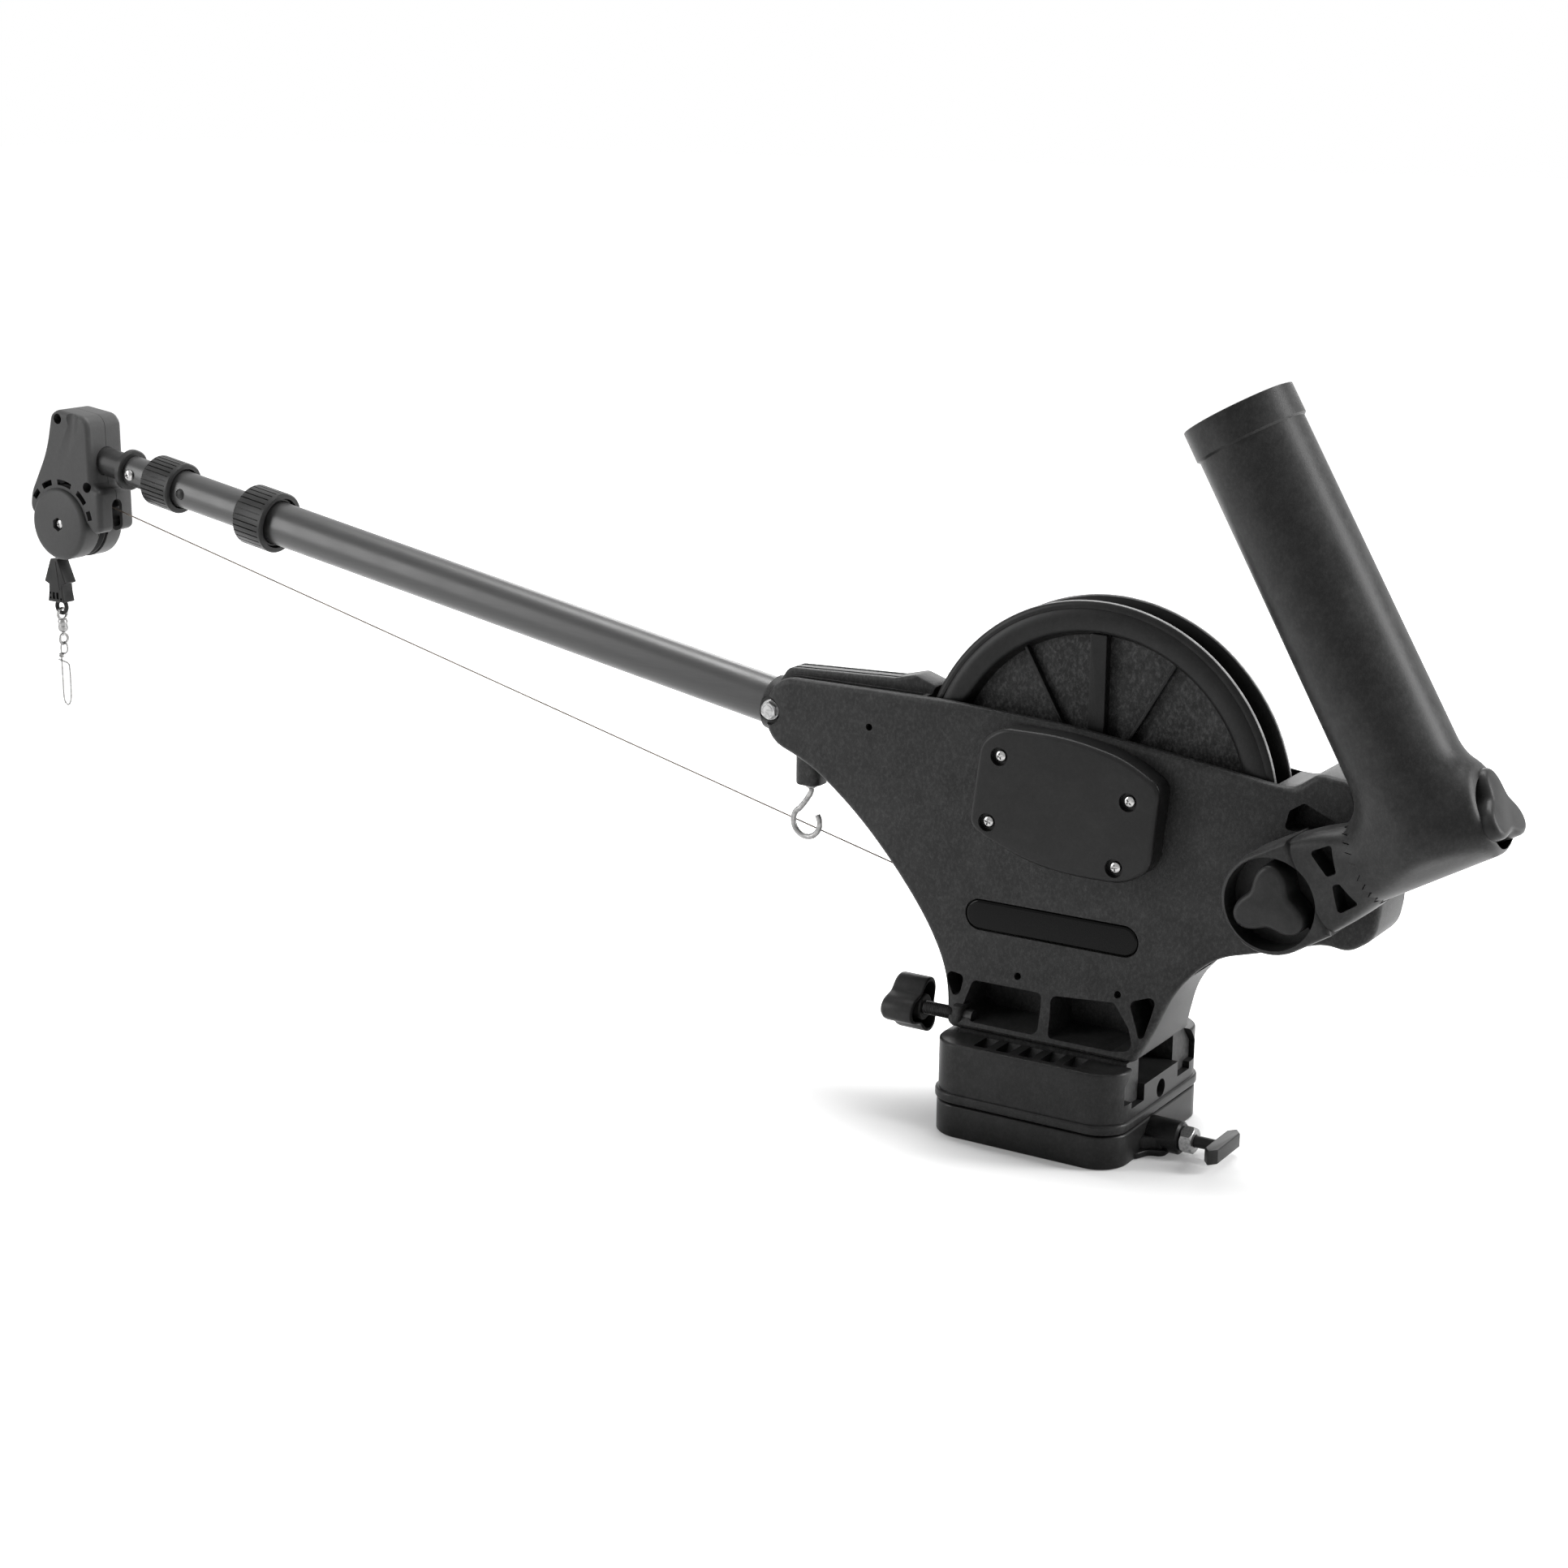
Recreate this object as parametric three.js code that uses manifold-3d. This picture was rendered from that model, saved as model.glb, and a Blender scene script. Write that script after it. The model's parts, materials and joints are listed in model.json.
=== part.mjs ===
// Manual trolling downrigger with a telescoping boom, a swivel base and a dual-axis rod holder.
// Millimetres, +Z up. The boom points to -X, the user stands at +X, the side cover is on -Y.
// The origin is the middle of the mount base's underside.
import * as THREE from 'three';
import { mergeVertices } from 'three/addons/utils/BufferGeometryUtils.js';
import Module from 'manifold-3d';

const wasm = await Module();
wasm.setup();

// Gaps shared by all pieces, and how far a cutting solid passes through what it cuts
const clearance = 0.3;
const overrun = 3;

// Sides of round shapes
const facets = { fine: 24, round: 18, small: 9, tiny: 6 };

// Mount base, bolted to the deck, and the pivot in it
const base = {
  length: 119, width: 120, height: 19.5, cornerRadius: 18.6, edge: 1.2,
  boltHoleRadius: 3.3, boltHoleDepth: 13, boltInset: 17,
  hubPocketDepth: 11,
};
const pivot = { shankRadius: 6, headRadius: 9, headHeight: 7, headDrop: 1.2, foot: 3.5, socket: 8 };

// Spring pin that locks the swivel, in a boss on the rear of the mount base
const lockPin = {
  offset: 11, height: 9.8, bossRadius: 9.5, bossLength: 19, bossNeck: 11,
  shaftRadius: 3.4, noseRadius: 4.2, flangeSink: 0.2, flangeRadius: 6.4, flangeThickness: 2,
  nutAcross: 14, nutLength: 7.5, stickOut: 12,
  handleSpan: 40, handleHeight: 8.5, handleThickness: 8, handleTaper: 5,
  travel: 5,
};

// Swivel base: a lip, a body with a dovetail channel, and a notched hub underneath
const swivel = {
  gap: 0.9, lipHeight: 5.9, lipSpread: 1.5, bodyInset: 1.2, height: 35.3, edge: 1.6,
  hubRadius: 30, hubSink: 10.6, notchCount: 12, notchDepth: 7,
  channelHalf: 38, channelUndercut: 46, channelFloor: 11.5, undercutDrop: 9,
  blockHalf: 22, blockDrop: 14.5, blockNotch: 4,
  frontWall: 9, pocketPitch: 14, pocketLength: 8.5, pocketDepth: 5, wall: 5,
};

// Frame: a hollow slab that holds the boom, the reel and the rod holder, on a flared foot
const frame = {
  thickness: 40, edge: 3.5, front: 204, rear: 190, foot: 56.9, top: 242.5,
  footHalf: 39, footTop: 94, footPlate: 5, footFront: -59, footRear: 59, footRib: 4, footCorner: 9,
  windowTop: 83, wall: 4, reelGap: 3.7, humpHalf: 9, humpRise: 9, cableSlot: 4.5, cableRoom: 7,
};
// Windows through both sides of the foot: shares of its length from the front and of its height
const footWindowShares = [
  [[-0.079, 0.735], [0.022, 0.712], [0.014, 0.375]],
  [[0.080, 0.700], [0.452, 0.705], [0.478, 0.130], [0.128, 0.130], [0.050, 0.250]],
  [[0.501, 0.700], [0.830, 0.780], [0.928, 0.460], [0.978, 0.180], [0.872, 0.130], [0.536, 0.130]],
  [[0.903, 0.830], [1.098, 1.060], [1.071, 0.365], [1.027, 0.358]],
];
// The frame's outline: shares of its length from the front, and of its height from the foot
const frameOutlineShares = [
  [0.3655, 0.0000], [0.3430, 0.1450], [0.2980, 0.3100], [0.2411, 0.4640], [0.1802, 0.5980],
  [0.0990, 0.7330], [0.0090, 0.8000], [0.0330, 1.0000], [0.3325, 1.0010], [0.5203, 0.9790], [0.6853,
    0.9380], [0.8376, 0.8925], [0.8640, 0.8925],
  [0.8960, 0.9440], [0.9492, 0.9320], [0.9660, 0.8000], [0.9970, 0.6000],
  [0.9873, 0.4850], [0.9518, 0.4330], [0.9175, 0.4450], [0.8274, 0.3830], [0.7690, 0.3480], [0.7360,
    0.2970],
  [0.7010, 0.2080], [0.6810, 0.0860], [0.6650, 0.0000],
];

// Pocket in the near wall over the rod holder's hub: shares of that hub's radius from the pivot
const earPocketShares = [[-0.314, 1.093], [-0.225, 1.471], [0.064, 1.661], [0.746, 1.368]];

// Boom: three tubes that slide in each other, along a line that climbs to the front
const boom = {
  rise: 10.2, boltX: -193.2, boltZ: 220.9, boltRadius: 3.1, boltHead: 5.6, boltHeadHeight: 4,
  outerRadius: 14.3, middleRadius: 12.4, innerRadius: 10.3, tubeWall: 1.6, insert: 93,
  outerReach: 415, middleOut: 88, innerOut: 32, middleStart: 14, innerStart: 102,
  socketWall: 4.5, mouth: 9, boltRecess: 8.5, boltRecessDepth: 5,
};
const collar = {
  rearRadius: 20.2, rearInset: 14, frontRadius: 17.2, frontInset: 15, length: 27.5,
  ribs: 12, grooveDepth: 0.9, grooveWidth: 1.4, chamfer: 4, cavityDepth: 6, cavityWall: 3.4,
};
const boomTrim = { buttonRadius: 3.4, buttonHeight: 1.2, buttonInset: 23,
  screwRadius: 3.8, screwHeight: 2.2, screwInset: 6 };

// Reel: two flanged halves with ribs, wound with wire cable
const reel = {
  x: 15.7, z: 198.8, radius: 109.3, width: 25, rimInner: 91.5, rimEdge: 3.2, rimHeight: 1.6,
  webDrop: 7, webThickness: 3.2, drumWall: 1.6, hubRadius: 13, hubPad: 1.5, shaftRadius: 6.5,
  spokeCount: 3, spokeRadius: 5, ribSpread: 30, ribThickness: 2, splitGap: 0.3,
  flangeThickness: 3.4,
};
const winding = { radius: 93.2, cable: 0.95, turns: 6, pitch: 2.6, steps: 20, sides: 4 };
const shaft = { nearReach: 27, bushRadius: 10, bushFlange: 12.5, bushFlangeThickness: 1.2 };

// Anti-reverse wheel and pawl, under the side cover
const ratchet = { radius: 19, toothDepth: 3.5, teeth: 12, thickness: 3, stand: 2.2, pinX: -27, pinDrop: 8,
  pinRadius: 2, pinHead: 3.4, pinSink: 3, pawlEnd: 4.5, pawlTip: 1.2 };

// Side cover, four screws and the bare name-plate recess below it
const cover = {
  depth: 13.7, edge: 4, wall: 2.6, corner: 12, screwRadius: 3.4, screwHeight: 1.8, screwShank: 1.6,
  screwRecess: 4.4, screwRecessDepth: 3, shankReach: 17.5, postRadius: 6,
};
// The cover's outline and its screws, shares of the reel's radius from the reel's centre
const coverOutlineShares = [
  [-0.505, 0.285], [-0.420, 0.336], [-0.060, 0.338], [0.255, 0.272], [0.440, 0.165],
  [0.462, 0.110], [0.422, -0.285], [0.280, -0.378], [-0.030, -0.380], [-0.270, -0.345],
  [-0.520, -0.250], [-0.601, -0.195], [-0.548, 0.230],
];
const coverScrewShares = [[-0.432, 0.185], [-0.493, -0.169], [0.292, 0.053], [0.228, -0.297]];
const badge = { length: 108, height: 18, depth: 1.6, z: 121, x: -3.5, rim: 0.4 };

// Weight hook under the arm, and the clamp knob at the foot
const hook = { x: -172.3, z: 188, y: -3.4, bossRadius: 8.3, bossDrop: 9, wire: 1.75, shank: 12,
  loopRadius: 9.2, loopX: -175.5, loopZ: 152.5, opening: 55 };
const clamp = { y: -30, z: 62.8, studRadius: 4, studReach: 17, studSink: 14, bossHalf: 7.5, knobRadius: 20,
  knobDepth: 24, knobOffset: 18, knobHub: 8, knobWall: 2.6 };

// Crank, clutch and line counter on the far side
const crank = {
  liningRadius: 16, liningThickness: 2, offset: 25, armThickness: 6, hubRadius: 15, tipRadius: 10,
  length: 92, angle: -62, knobRadius: 14, knobLength: 44, knobNeck: 9, spindleRadius: 4,
  spindleHead: 6.5, starRadius: 20, starDepth: 13, starGap: 1,
};
const counter = { x: -124, z: 212, length: 44, height: 24, depth: 18.4, wall: 2.2, wheelRadius: 6.4,
  wheelWidth: 9, wheelGap: 1.8, shaftRadius: 1.6, lens: 1.4, windowLength: 32, windowDepth: 8 };

// Head: two shells round the pulley, on a neck in the inner tube
const head = {
  axleOut: 48.84, axleDrop: 49.06, height: 79, halfWidth: 16, wall: 2.4, edge: 2.6,
  discRadius: 25, discProud: 3, discInner: 4.2, discEdge: 1.6, slotHalf: 4.6, slotTop: 18.7, slotBottom: 8,
  neckRadius: 9.6, neckRing: 14, ringGap: 0.4, ringThickness: 4.5, neckLength: 42.6, collarRadius: 11.4,
  collarOffset: 30.6, collarThickness: 3, bossRadius: 13, arcRadius: 29.6, arcWidth: 3, holeRadius: 2.9,
  postRadius: 5.2, hexAcross: 8.5, hexDepth: 3.2, cornerRadius: 4,
};
// The head's outline and screw posts: shares of the top's height over the pulley's axle
const headOutlineShares = [
  [0.020, 1.000], [0.398, 0.950], [0.398, 0.345], [0.490, 0.320], [0.490, -0.030], [0.386, -0.060],
  [0.250, 0.080], [-0.250, 0.080], [-0.345, 0.055], [-0.380, 0.125], [-0.362, 0.250], [-0.146, 0.630],
  [-0.060, 0.960],
];
const headPostShares = [[0.035, 0.921], [0.343, 0.348]];
const arcSlotShares = [[9.5, 22.6], [33, 53.4], [66, 92], [103, 122], [132, 146]];
const pulley = { radius: 24, groove: 20.2, halfWidth: 3.4, axleRadius: 3, grooveHalf: 0.8, capHead: 3.4,
  capHeight: 1.8 };

// Cable end: sleeve with barbs, barrel swivel and snap
const sleeve = { top: 247.7, topRadius: 3.2, neckTop: 234, neckRadius: 5.4, barb: 231.7, barbRadius: 8.4,
  barbDrop: 5, blockTop: 225, blockRadius: 6.2, blockBottom: 216.5, boreRadius: 1.1, boreDepth: 12,
    edge: 1.5 };
const eye = { wire: 1.2, topRadius: 4, barrelLength: 9.5, barrelRadius: 3.5, barrelEdge: 1.5,
  bottomRadius: 3.6 };
const snap = { wire: 1, half: 4.2, bottom: 141 };
// The snap's wire: shares of its half width off its middle, and of its length from the top
const snapShares = [
  [0.6, 0.27], [0.75, 0.17], [0.85, 0.08], [0, 0], [-0.85, 0.08], [-0.75, 0.17], [-0.45, 0.3],
  [-0.85, 0.55], [-1, 0.82], [-0.75, 0.95], [0, 1], [0.75, 0.95], [1, 0.82], [0.9, 0.55], [0.65, 0.36],
];

// Rod holder: an arm on a toothed hub, a tube that turns on the arm, and two lobed knobs
const rod = {
  pivotX: 141, pivotZ: 169, tilt: 30, centreY: -41.6, inner: -24.6, outer: -57, earGap: 0.4, edge: 2,
  hubRadius: 28, discRadius: 25, bodyEnd: 22, faceReach: 54.6, faceRadius: 21,
  pocketRadius: 25.5, pocketFloor: -42, arcRadius: 21.5, arcWidth: 4, arcDepth: 6, boltRadius: 4,
    boltHead: 7.5,
  boltHeadHeight: 4, rimTeeth: 14, rimToothDepth: 2,
  tubeReach: 94.5, tubeRadius: 28.6, tubeFoot: 29.7, tubeWall: 3.2, tubeLength: 238, rimRadius: 29.9,
  rimLength: 17, floor: 30, cutX: 229.5, mouthRadius: 19.4, mouthFloor: 88,
  knobRadius: 22, knobDepth: 17, knobHub: 12, knobWall: 3, rearKnobStart: 116.5, rearKnobHub: 13.5,
};

// The arm's slots, in degrees round its pivot, and its windows, shares of the hub's radius
const rodArcShares = [[-70, -20], [20, 70]];
const rodWindowShares = [[1.107, 0.125], [1.607, 0.089], [1.643, 0.5], [1.196, 0.625]];

// Places along the boom that follow its tubes, and the pulley's axle past the inner tube's end
const middleReach = boom.outerReach + boom.middleOut;
const innerReach = middleReach + boom.innerOut;
const screwReach = innerReach - boomTrim.screwInset;
const buttonReach = middleReach - boomTrim.buttonInset;
const ringStart = innerReach + head.ringGap;
const keeperStart = ringStart + head.collarOffset;
const neckReach = ringStart + head.neckLength;
const rise = THREE.MathUtils.degToRad(boom.rise);
const axleOut = innerReach + head.axleOut;
const axle = {
  x: boom.boltX - Math.cos(rise) * axleOut - Math.sin(rise) * head.axleDrop,
  z: boom.boltZ + Math.sin(rise) * axleOut - Math.cos(rise) * head.axleDrop,
};

// Materials
const plastic = (colour, roughness) => new THREE.MeshStandardMaterial({ color: colour, roughness,
  metalness: 0 });
const metal = (colour, roughness) => new THREE.MeshStandardMaterial({ color: colour, roughness,
  metalness: 1 });
const material = {
  frame: plastic(0x2f3033, 0.55),
  dark: plastic(0x1b1c1e, 0.5),
  gloss: plastic(0x0c0c0d, 0.12),
  tube: plastic(0x3b3c3e, 0.4),
  steel: metal(0xc9c9c6, 0.25),
  zinc: metal(0xa9a9a6, 0.4),
  cable: metal(0x8f8b84, 0.4),
  bronze: plastic(0xb0a68c, 0.5),
  white: plastic(0xe6e6e2, 0.5),
  lens: new THREE.MeshStandardMaterial({ color: 0xdfe6ea, roughness: 0.05, transparent: true,
    opacity: 0.35 }),
};

// A closed geometry as a solid that can be joined and cut
function solid(geometry) {
  const bare = geometry.index ? geometry.toNonIndexed() : geometry.clone();
  bare.deleteAttribute('normal');
  bare.deleteAttribute('uv');
  const merged = mergeVertices(bare);
  const place = merged.attributes.position.array;
  const corners = new Uint32Array(merged.index.array);
  const at = (corner) => new THREE.Vector3().fromArray(place, corners[corner] * 3);
  let volume = 0;
  for (let i = 0; i < corners.length; i += 3) volume += at(i).dot(at(i + 1).cross(at(i + 2)));
  if (volume < 0) {
    for (let i = 0; i < corners.length; i += 3) corners.subarray(i, i + 3).reverse();
  }
  return new wasm.Manifold(new wasm.Mesh({ numProp: 3, vertProperties: place, triVerts: corners }));
}

// The geometry of a finished solid
function geometryOf(body) {
  const mesh = body.getMesh();
  const geometry = new THREE.BufferGeometry();
  geometry.setAttribute('position', new THREE.BufferAttribute(mesh.vertProperties, 3));
  geometry.setIndex(new THREE.BufferAttribute(mesh.triVerts, 1));
  return geometry;
}

const join = (...bodies) => bodies.reduce((whole, next) => whole.add(next));
const cut = (body, ...tools) => tools.reduce((rest, tool) => rest.subtract(tool), body);

// Groups, and the placing of one named piece
const downrigger = new THREE.Group();
function piece(name, body, look, parent = downrigger) {
  const mesh = new THREE.Mesh(geometryOf(body), look.clone());
  mesh.name = name;
  parent.add(mesh);
  return mesh;
}

// Basic shapes. Each takes its centre or its start as a point [x, y, z].
function box(low, high) {
  const size = high.map((value, axis) => value - low[axis]);
  const middle = high.map((value, axis) => (value + low[axis]) / 2);
  return solid(new THREE.BoxGeometry(...size).translate(...middle));
}

function cylinder(axis, start, end, centre, radius, sides = facets.round, endRadius = radius) {
  const length = end - start;
  const shape = new THREE.CylinderGeometry(endRadius, radius, length, sides);
  shape.translate(0, (start + end) / 2, 0);
  if (axis === 'z') shape.rotateX(Math.PI / 2);
  if (axis === 'x') shape.rotateZ(-Math.PI / 2);
  const [a, b] = centre;
  if (axis === 'z') shape.translate(a, b, 0);
  if (axis === 'y') shape.translate(a, 0, b);
  if (axis === 'x') shape.translate(0, a, b);
  return solid(shape);
}

// A profile of [radius, height] points turned round an axis
function turned(axis, profile, centre, sides = facets.round) {
  const shape = new THREE.LatheGeometry(profile.map(([r, h]) => new THREE.Vector2(r, h)), sides);
  if (axis === 'z') shape.rotateX(Math.PI / 2);
  if (axis === 'x') shape.rotateZ(-Math.PI / 2);
  const [a, b] = centre;
  if (axis === 'z') shape.translate(a, b, 0);
  if (axis === 'y') shape.translate(a, 0, b);
  if (axis === 'x') shape.translate(0, a, b);
  return solid(shape);
}

// A closed outline whose corners are rounded by a radius of their own
function outline(points, radius = 0) {
  const shape = new THREE.Shape();
  const count = points.length;
  const at = (i) => new THREE.Vector2(...points[(i + count) % count]);
  for (let i = 0; i < count; i += 1) {
    const corner = at(i);
    const before = at(i - 1).sub(corner);
    const after = at(i + 1).sub(corner);
    const reach = Math.min(radius, before.length() / 2, after.length() / 2);
    const start = corner.clone().addScaledVector(before.normalize(), reach);
    const end = corner.clone().addScaledVector(after.normalize(), reach);
    if (i === 0) shape.moveTo(start.x, start.y);
    else shape.lineTo(start.x, start.y);
    if (reach > 0) shape.quadraticCurveTo(corner.x, corner.y, end.x, end.y);
  }
  shape.closePath();
  return shape;
}

function roundedRectangle(length, width, radius) {
  const x = length / 2;
  const y = width / 2;
  const shape = new THREE.Shape();
  shape.moveTo(-x + radius, -y);
  shape.lineTo(x - radius, -y);
  shape.absarc(x - radius, -y + radius, radius, -Math.PI / 2, 0);
  shape.lineTo(x, y - radius);
  shape.absarc(x - radius, y - radius, radius, 0, Math.PI / 2);
  shape.lineTo(-x + radius, y);
  shape.absarc(-x + radius, y - radius, radius, Math.PI / 2, Math.PI);
  shape.lineTo(-x, -y + radius);
  shape.absarc(-x + radius, -y + radius, radius, Math.PI, Math.PI * 3 / 2);
  return shape;
}

// An outline in X and Y raised from one height to another, with a bevelled edge
function raised(shape, low, high, edge = 0, curveSegments = 3) {
  const geometry = new THREE.ExtrudeGeometry(shape, {
    depth: high - low - edge * 2, curveSegments, steps: 1, bevelEnabled: edge > 0,
    bevelThickness: edge, bevelSize: edge, bevelOffset: -edge, bevelSegments: 1,
  });
  return solid(geometry.translate(0, 0, low + edge));
}

// An outline in X and Z drawn through the part from one Y to another, with a bevelled edge
function drawn(shape, near, far, edge = 0, curveSegments = 3, bevelSegments = 1) {
  const geometry = new THREE.ExtrudeGeometry(shape, {
    depth: far - near - edge * 2, curveSegments, steps: 1, bevelEnabled: edge > 0,
    bevelThickness: edge, bevelSize: edge, bevelOffset: -edge, bevelSegments,
  });
  return solid(geometry.rotateX(Math.PI / 2).translate(0, far - edge, 0));
}

// An outline in Y and Z drawn along X
function drawnAlongX(shape, rear, front) {
  const geometry = new THREE.ExtrudeGeometry(shape, { depth: front - rear, curveSegments: 5, steps: 1,
    bevelEnabled: false });
  return solid(geometry.rotateX(Math.PI / 2).rotateZ(Math.PI / 2).translate(rear, 0, 0));
}

// A round wire along a curve
function wire(curve, radius, sides, steps) {
  const ring = Array.from({ length: sides }, (_, i) => {
    const turn = (i + 0.5) / sides * Math.PI * 2;
    return new THREE.Vector2(Math.cos(turn) * radius, Math.sin(turn) * radius);
  });
  return solid(new THREE.ExtrudeGeometry(new THREE.Shape(ring), { steps, extrudePath: curve,
    bevelEnabled: false }));
}

// A closed body through level outlines [z, ring], which all have as many points
function loft(levels) {
  const count = levels[0][1].length;
  const place = levels.flatMap(([z, ring]) => ring.flatMap(([x, y]) => [x, y, z]));
  const last = (levels.length - 1) * count;
  const corners = [];
  for (let level = 0; level < last; level += count) {
    for (let i = 0; i < count; i += 1) {
      const next = (i + 1) % count;
      corners.push(level + i, level + next, level + next + count);
      corners.push(level + i, level + next + count, level + i + count);
    }
  }
  for (let i = 1; i + 1 < count; i += 1) corners.push(0, i + 1, i, last, last + i, last + i + 1);
  const geometry = new THREE.BufferGeometry();
  geometry.setAttribute('position', new THREE.BufferAttribute(new Float32Array(place), 3));
  geometry.setIndex(corners);
  return solid(geometry);
}

// A closed outline moved inwards by a wall's thickness
function inset(points, distance) {
  const ring = THREE.ShapeUtils.isClockWise(points.map((p) =>
    new THREE.Vector2(...p))) ? [...points].reverse() : points;
  const count = ring.length;
  const side = (i) => {
    const a = new THREE.Vector2(...ring[(i + count) % count]);
    const b = new THREE.Vector2(...ring[(i + 1 + count) % count]);
    const along = b.clone().sub(a).normalize();
    return { start: a.addScaledVector(new THREE.Vector2(-along.y, along.x), distance), along };
  };
  return ring.map((_, i) => {
    const before = side(i - 1);
    const after = side(i);
    const turn = before.along.cross(after.along);
    if (Math.abs(turn) < 0.02) return after.start.toArray();
    const gap = after.start.clone().sub(before.start);
    return before.start.clone().addScaledVector(before.along, gap.cross(after.along) / turn).toArray();
  });
}

// A slot's outline, round at both ends
function slot(length, height) {
  const shape = new THREE.Shape();
  const reach = (length - height) / 2;
  shape.moveTo(-reach, -height / 2);
  shape.lineTo(reach, -height / 2);
  shape.absarc(reach, 0, height / 2, -Math.PI / 2, Math.PI / 2);
  shape.lineTo(-reach, height / 2);
  shape.absarc(-reach, 0, height / 2, Math.PI / 2, Math.PI * 3 / 2);
  return shape;
}

const smoothCurve = (points) =>
  new THREE.CatmullRomCurve3(points.map((p) => new THREE.Vector3(...p)), false, 'centripetal');

// A lobed knob: an outline with three lobes, hollow on the side that faces its stud
function lobedOutline(radius, lobes, waist) {
  const steps = facets.round;
  return new THREE.Shape(Array.from({ length: steps }, (_, i) => {
    const turn = i / steps * Math.PI * 2;
    const reach = radius * (1 - waist * (1 - Math.cos(turn * lobes)) / 2);
    return new THREE.Vector2(Math.cos(turn) * reach, Math.sin(turn) * reach);
  }));
}

function lobedKnob(radius, depth, wall, hub, lobes = 3, waist = 0.28) {
  const rim = raised(lobedOutline(radius, lobes, waist), 0, depth, wall / 2);
  const hollow = raised(lobedOutline(radius - wall, lobes, waist), -overrun, depth - wall * 2);
  const core = cylinder('z', 0, depth - wall, [0, 0], hub, facets.small);
  return join(cut(rim, hollow), core);
}

// A solid built round the Z axis, turned to point along a direction from a place
function aimed(body, place, towards) {
  const geometry = geometryOf(body);
  const turn = new THREE.Quaternion().setFromUnitVectors(
    new THREE.Vector3(0, 0, 1), new THREE.Vector3(...towards).normalize());
  geometry.applyQuaternion(turn).translate(...place);
  return solid(geometry);
}

function hexagon(across) {
  const corner = across / Math.sqrt(3);
  return new THREE.Shape(Array.from({ length: 6 }, (_, i) => {
    const turn = (i + 0.5) / 6 * Math.PI * 2;
    return new THREE.Vector2(Math.cos(turn) * corner, Math.sin(turn) * corner);
  }));
}


// Mount base
const pinY = -lockPin.offset;
const baseRear = base.length / 2;
const bossEnd = baseRear + lockPin.bossLength;
const springSeat = baseRear - lockPin.bossNeck;
const hubFloor = base.height - base.hubPocketDepth;
{
  const plate = raised(roundedRectangle(base.length, base.width, base.cornerRadius), 0, base.height,
    base.edge);
  const boss = cylinder('x', springSeat, bossEnd, [pinY, lockPin.height], lockPin.bossRadius, facets.small);
  const bossFoot = box([springSeat, pinY - lockPin.bossRadius, lockPin.height - lockPin.bossRadius],
    [bossEnd - lockPin.bossNeck / 2, pinY + lockPin.bossRadius, lockPin.height]);
  const hubPocket = cylinder('z', hubFloor, base.height + overrun, [0, 0],
    swivel.hubRadius + clearance * 2);
  const shankHole = cylinder('z', pivot.foot - clearance, base.height, [0, 0],
    pivot.shankRadius + clearance,
    facets.small);
  const noseHole = cylinder('x', swivel.hubRadius / 2, springSeat, [pinY, lockPin.height],
    lockPin.noseRadius + clearance, facets.small);
  const springHole = cylinder('x', springSeat - lockPin.travel - overrun, bossEnd - lockPin.bossNeck / 2,
    [pinY, lockPin.height], lockPin.flangeRadius + clearance, facets.small);
  const shaftHole = cylinder('x', baseRear, bossEnd + overrun, [pinY, lockPin.height],
    lockPin.shaftRadius + clearance, facets.small);
  const holeX = baseRear - base.boltInset;
  const holeY = base.width / 2 - base.boltInset;
  const boltHoles = [[1, 1], [-1, 1], [-1, -1], [1, -1]].map(([sx, sy]) =>
    cylinder('z', -overrun, base.boltHoleDepth, [sx * holeX, sy * holeY], base.boltHoleRadius,
      facets.small));
  piece('mount_base', cut(join(plate, boss, bossFoot), hubPocket, shankHole, noseHole, springHole,
    shaftHole,
    ...boltHoles), material.dark);
}

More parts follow.
